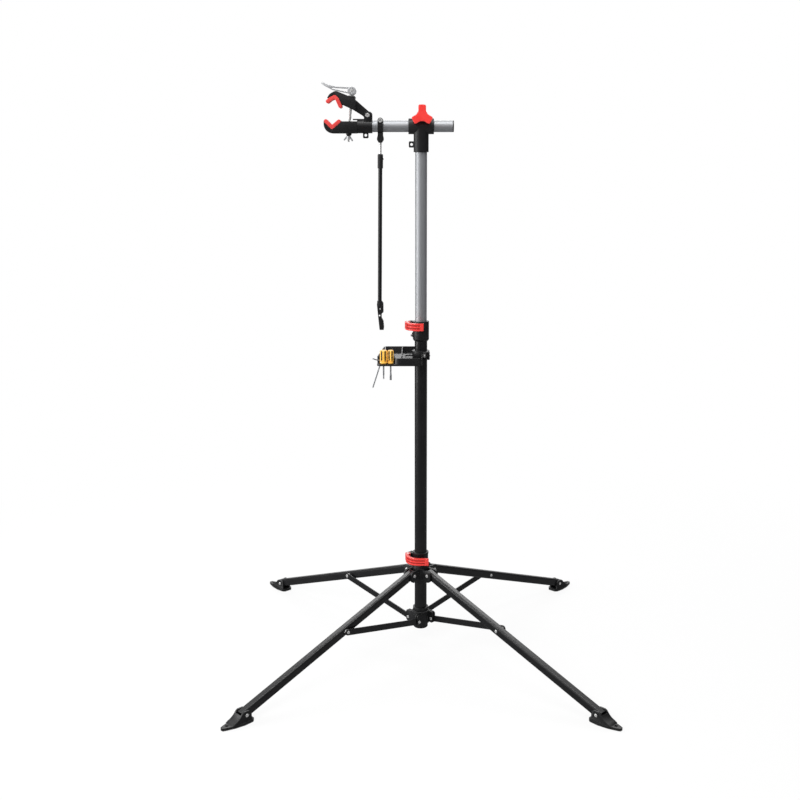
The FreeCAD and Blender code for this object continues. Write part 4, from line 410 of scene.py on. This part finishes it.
def make_foot(name, yaw):
    node = "foot_" + name
    foot = merged_copy(node)
    ahead = Vector((math.cos(yaw), math.sin(yaw), 0.0))
    pivot = ahead * FOOT_PIVOT_RADIUS + Vector((0.0, 0.0, FOOT_PIVOT_HEIGHT))
    bpy.ops.object.mode_set(mode="EDIT")
    select_edges(foot, is_sole_corner)
    bpy.ops.mesh.bevel(offset=CORNER_ROUND, segments=CORNER_SEGMENTS, affect="EDGES", clamp_overlap=True)
    bpy.ops.object.mode_set(mode="OBJECT")
    middle = pivot + ahead * SWEEP_STATION + Vector((0.0, 0.0, SWEEP_HEIGHT))
    cutter = round_bar(SWEEP_RADIUS, SWEEP_WIDTH, middle, (math.pi / 2, 0.0, yaw), SWEEP_SIDES)
    apply_modifier(foot, "BOOLEAN", operation="DIFFERENCE", object=cutter, solver="EXACT")
    bpy.data.objects.remove(cutter)
    soften(foot, node, FOOT_SOFT_EDGE)


for foot_name, foot_angle in FOOT_ANGLES.items():
    make_foot(foot_name, math.radians(foot_angle))


# Threaded rod of the clamp: an M8 thread, 1.25 mm pitch, cut along a helix into a plain bar.
ROD_RADIUS = 4.0 * MM
ROD_LENGTH = 144.5 * MM
ROD_SIDES = 20
THREAD_PITCH = 1.25 * MM
THREAD_DEPTH = 0.65 * MM
ROWS_PER_PITCH = 6
FIRST_CUTS = 99
PLAIN_TOP = 16.0 * MM
PLAIN_END = 0.8 * MM
SAME_PLACE = 1e-6
CAM_PIVOT = (-199.9 * MM, 0.0, 1723.4 * MM)
ROD_LEAN = math.radians(5.1)
BARREL_RADIUS = 5.0 * MM
BARREL_LENGTH = 22.0 * MM
BARREL_BEVEL = 0.5 * MM


def runs_lengthwise(start, end):
    """Whether an edge runs straight along the bar."""
    level = abs(start.z - end.z) <= SAME_PLACE
    return not level and abs(start.x - end.x) < SAME_PLACE and abs(start.y - end.y) < SAME_PLACE


def make_threaded_rod():
    rod = round_bar(ROD_RADIUS, ROD_LENGTH, (0.0, 0.0, -ROD_LENGTH / 2), sides=ROD_SIDES)
    select_only(rod)
    bpy.ops.object.transform_apply(location=True)
    rows = ROD_LENGTH / THREAD_PITCH * ROWS_PER_PITCH
    second_cuts = round(rows / (FIRST_CUTS + 1)) - 1
    bpy.ops.object.mode_set(mode="EDIT")
    for cuts in (FIRST_CUTS, second_cuts):
        select_edges(rod, runs_lengthwise)
        bpy.ops.mesh.subdivide(number_cuts=cuts)
    bpy.ops.object.mode_set(mode="OBJECT")
    for vertex in rod.data.vertices:
        place = vertex.co
        if not -ROD_LENGTH + PLAIN_END < place.z < -PLAIN_TOP:
            continue
        turn = math.atan2(place.y, place.x) / (2 * math.pi)
        phase = (place.z / THREAD_PITCH - turn) % 1.0
        shrink = 1.0 - THREAD_DEPTH * abs(2 * phase - 1) / ROD_RADIUS
        place.x *= shrink
        place.y *= shrink
    barrel = round_bar(BARREL_RADIUS, BARREL_LENGTH, turn=(math.pi / 2, 0.0, 0.0), bevel=BARREL_BEVEL)
    whole = join([rod, barrel])
    whole.location = CAM_PIVOT
    whole.rotation_euler = (0.0, ROD_LEAN, 0.0)
    finish_piece(whole, "clamp_threaded_rod", "skewer_rod", zinc_plate, ("skewer_rod",))


make_threaded_rod()


# Black inlays in the flutes of the screwdriver handles. Each driver has its x and its handle's radius.
DRIVERS = {"driver_left": (-111.0 * MM, 11.2 * MM), "driver_right": (-90.0 * MM, 9.4 * MM)}
DRIVER_Y = -90.0 * MM
FLUTE_COUNT = 6
FLUTE_RADIUS = 3.0 * MM
FLUTE_OUTSET = 1.4 * MM
INLAY_BOTTOM = 949.0 * MM
INLAY_TOP = 977.5 * MM
INLAY_PROUD = 0.6 * MM
INLAY_BEVEL = 0.25 * MM
INLAY_BEVEL_SEGMENTS = 2
INLAY_BEVEL_ANGLE = math.radians(50)


def make_inlays(driver, x, handle_radius):
    strips = []
    for step in range(FLUTE_COUNT):
        reach = handle_radius + FLUTE_OUTSET
        strip = round_bar(FLUTE_RADIUS, INLAY_TOP - INLAY_BOTTOM, (reach, 0.0, 0.0))
        select_only(strip)
        bpy.ops.object.transform_apply(location=True)
        bpy.ops.object.mode_set(mode="EDIT")
        bpy.ops.mesh.select_all(action="SELECT")
        bpy.ops.mesh.bisect(plane_co=(handle_radius - INLAY_PROUD, 0.0, 0.0), plane_no=(1.0, 0.0, 0.0),
                            use_fill=True, clear_outer=True)
        bpy.ops.object.mode_set(mode="OBJECT")
        round_edges(strip, INLAY_BEVEL, INLAY_BEVEL_SEGMENTS, INLAY_BEVEL_ANGLE)
        strip.rotation_euler = (0.0, 0.0, 2 * math.pi * step / FLUTE_COUNT)
        strips.append(strip)
    for strip in strips:
        select_only(strip)
        bpy.ops.object.transform_apply(rotation=True)
    whole = join(strips)
    whole.location = (x, DRIVER_Y, (INLAY_BOTTOM + INLAY_TOP) / 2)
    finish_piece(whole, driver + "_inlays", driver, black_moulding)


for driver_name, (driver_x, driver_radius) in DRIVERS.items():
    make_inlays(driver_name, driver_x, driver_radius)


# Studio: white paper floor and backdrop, a broad key on the left, a strip overhead, a rim light
# behind and a soft light in front. Four grey flags, seen in reflections only, keep the blacks dark.
# Around the object the floor glows a little less than white, and its paper takes the shadow.
WHITE = linear("FFFFFF")
PAPER_COLOUR = linear("F4F4F4")
FLAG_COLOUR = linear("3C3C3E")
GROUND_COLOUR = linear("7A7A7C")
ROOM_LEVEL = 0.42
FLOOR_SIZE = 24.0
FLOOR_DROP = 0.5 * MM
GLOW_NEAR = 0.86
FADE_START = 0.9
FADE_END = 2.4
ACROSS_Y = (math.pi / 2, 0.0, 0.0)
ACROSS_X = (math.pi / 2, 0.0, math.pi / 2)
LEVEL = (0.0, 0.0, 0.0)


def seen_as_background(owner, output_kind, shown, plain):
    """Ends a tree in a mix of what cameras, mirrors and glass see and what lights the object."""
    rays = add_node(owner, "ShaderNodeLightPath")
    mirrored = add_node(owner, "ShaderNodeMath", {"operation": "MAXIMUM"},
                        {0: (rays, "Is Glossy Ray"), 1: (rays, "Is Transmission Ray")})
    seen = add_node(owner, "ShaderNodeMath", {"operation": "MAXIMUM"},
                    {0: (rays, "Is Camera Ray"), 1: (mirrored, "Value")})
    mix = add_node(owner, "ShaderNodeMixShader", links={"Fac": (seen, "Value"), 1: plain, 2: shown})
    add_node(owner, output_kind, links={"Surface": (mix, "Shader")})


deselect_all()
bpy.ops.mesh.primitive_plane_add(size=FLOOR_SIZE, location=(0.0, 0.0, -FLOOR_DROP))
floor = bpy.context.object
floor.name = "studio_floor"
floor_paper = clear_tree(bpy.data.materials.new("white_studio_paper"))
paper = add_node(floor_paper, "ShaderNodeBsdfDiffuse", {"Color": PAPER_COLOUR})
glow = add_node(floor_paper, "ShaderNodeEmission", {"Color": WHITE})
floor_place = add_node(floor_paper, "ShaderNodeTexCoord")
distance = add_node(floor_paper, "ShaderNodeVectorMath", {"operation": "LENGTH"},
                    {"Vector": (floor_place, "Object")})
glow_share = add_node(floor_paper, "ShaderNodeMapRange",
                      {"From Min": FADE_START, "From Max": FADE_END, "To Min": GLOW_NEAR, "To Max": 1.0},
                      {"Value": (distance, "Value")})
bright = add_node(floor_paper, "ShaderNodeMixShader",
                  links={"Fac": (glow_share, "Result"), 1: (paper, "BSDF"), 2: (glow, "Emission")})
seen_as_background(floor_paper, "ShaderNodeOutputMaterial", (bright, "Shader"), (paper, "BSDF"))
floor.data.materials.append(floor_paper)

world = clear_tree(bpy.data.worlds.new("white_studio_room"))
bpy.context.scene.world = world
backdrop = add_node(world, "ShaderNodeBackground", {"Color": WHITE, "Strength": 1.0})
room = add_node(world, "ShaderNodeBackground", {"Color": WHITE, "Strength": ROOM_LEVEL})
seen_as_background(world, "ShaderNodeOutputWorld", (backdrop, "Background"), (room, "Background"))


def flag(name, place, turn, width, height, colour=FLAG_COLOUR):
    """Grey card that only mirror-like rays see."""
    deselect_all()
    bpy.ops.mesh.primitive_plane_add(size=1.0, location=place, rotation=turn)
    card = bpy.context.object
    card.name = name
    card.scale = (width, height, 1.0)
    cloth = clear_tree(bpy.data.materials.new(name))
    grey = add_node(cloth, "ShaderNodeEmission", {"Color": colour, "Strength": 1.0})
    add_node(cloth, "ShaderNodeOutputMaterial", links={"Surface": (grey, "Emission")})
    card.data.materials.append(cloth)
    for ray in ("camera", "diffuse", "transmission", "shadow", "volume_scatter"):
        setattr(card, "visible_" + ray, False)


flag("flag_front", place=(0.6, -5.5, 1.5), turn=ACROSS_Y, width=7.0, height=5.0)
flag("flag_right", place=(4.6, 1.0, 1.5), turn=ACROSS_X, width=14.0, height=5.0)
flag("flag_left", place=(-5.0, 5.0, 1.5), turn=ACROSS_X, width=7.0, height=5.0)
flag("flag_ground", place=(0.0, 0.0, 0.002), turn=LEVEL, width=12.0, height=12.0, colour=GROUND_COLOUR)


def area_light(name, place, target, width, height, power):
    lamp = bpy.data.lights.new(name, "AREA")
    lamp.shape = "RECTANGLE"
    lamp.size = width
    lamp.size_y = height
    lamp.energy = power
    holder = bpy.data.objects.new(name, lamp)
    holder.location = place
    holder.rotation_euler = (Vector(target) - Vector(place)).to_track_quat("-Z", "Y").to_euler()
    bpy.context.scene.collection.objects.link(holder)
    return holder


area_light("key_left", place=(-3.2, -0.5, 1.5), target=(0.0, 0.0, 0.9),
           width=1.2, height=2.6, power=50.0)
area_light("strip_overhead", place=(0.0, -0.6, 3.6), target=(0.0, 0.0, 0.0),
           width=3.0, height=0.3, power=34.0)
area_light("rim_behind", place=(0.0, 2.8, 2.7), target=(0.0, 0.0, 0.3),
           width=3.6, height=0.8, power=52.0)
front_soft = area_light("front_soft", place=(-1.6, -4.2, 3.0), target=(0.0, 0.0, 0.8),
                        width=2.5, height=2.0, power=120.0)
front_soft.visible_glossy = False

bpy.context.scene.view_settings.view_transform = "Standard"
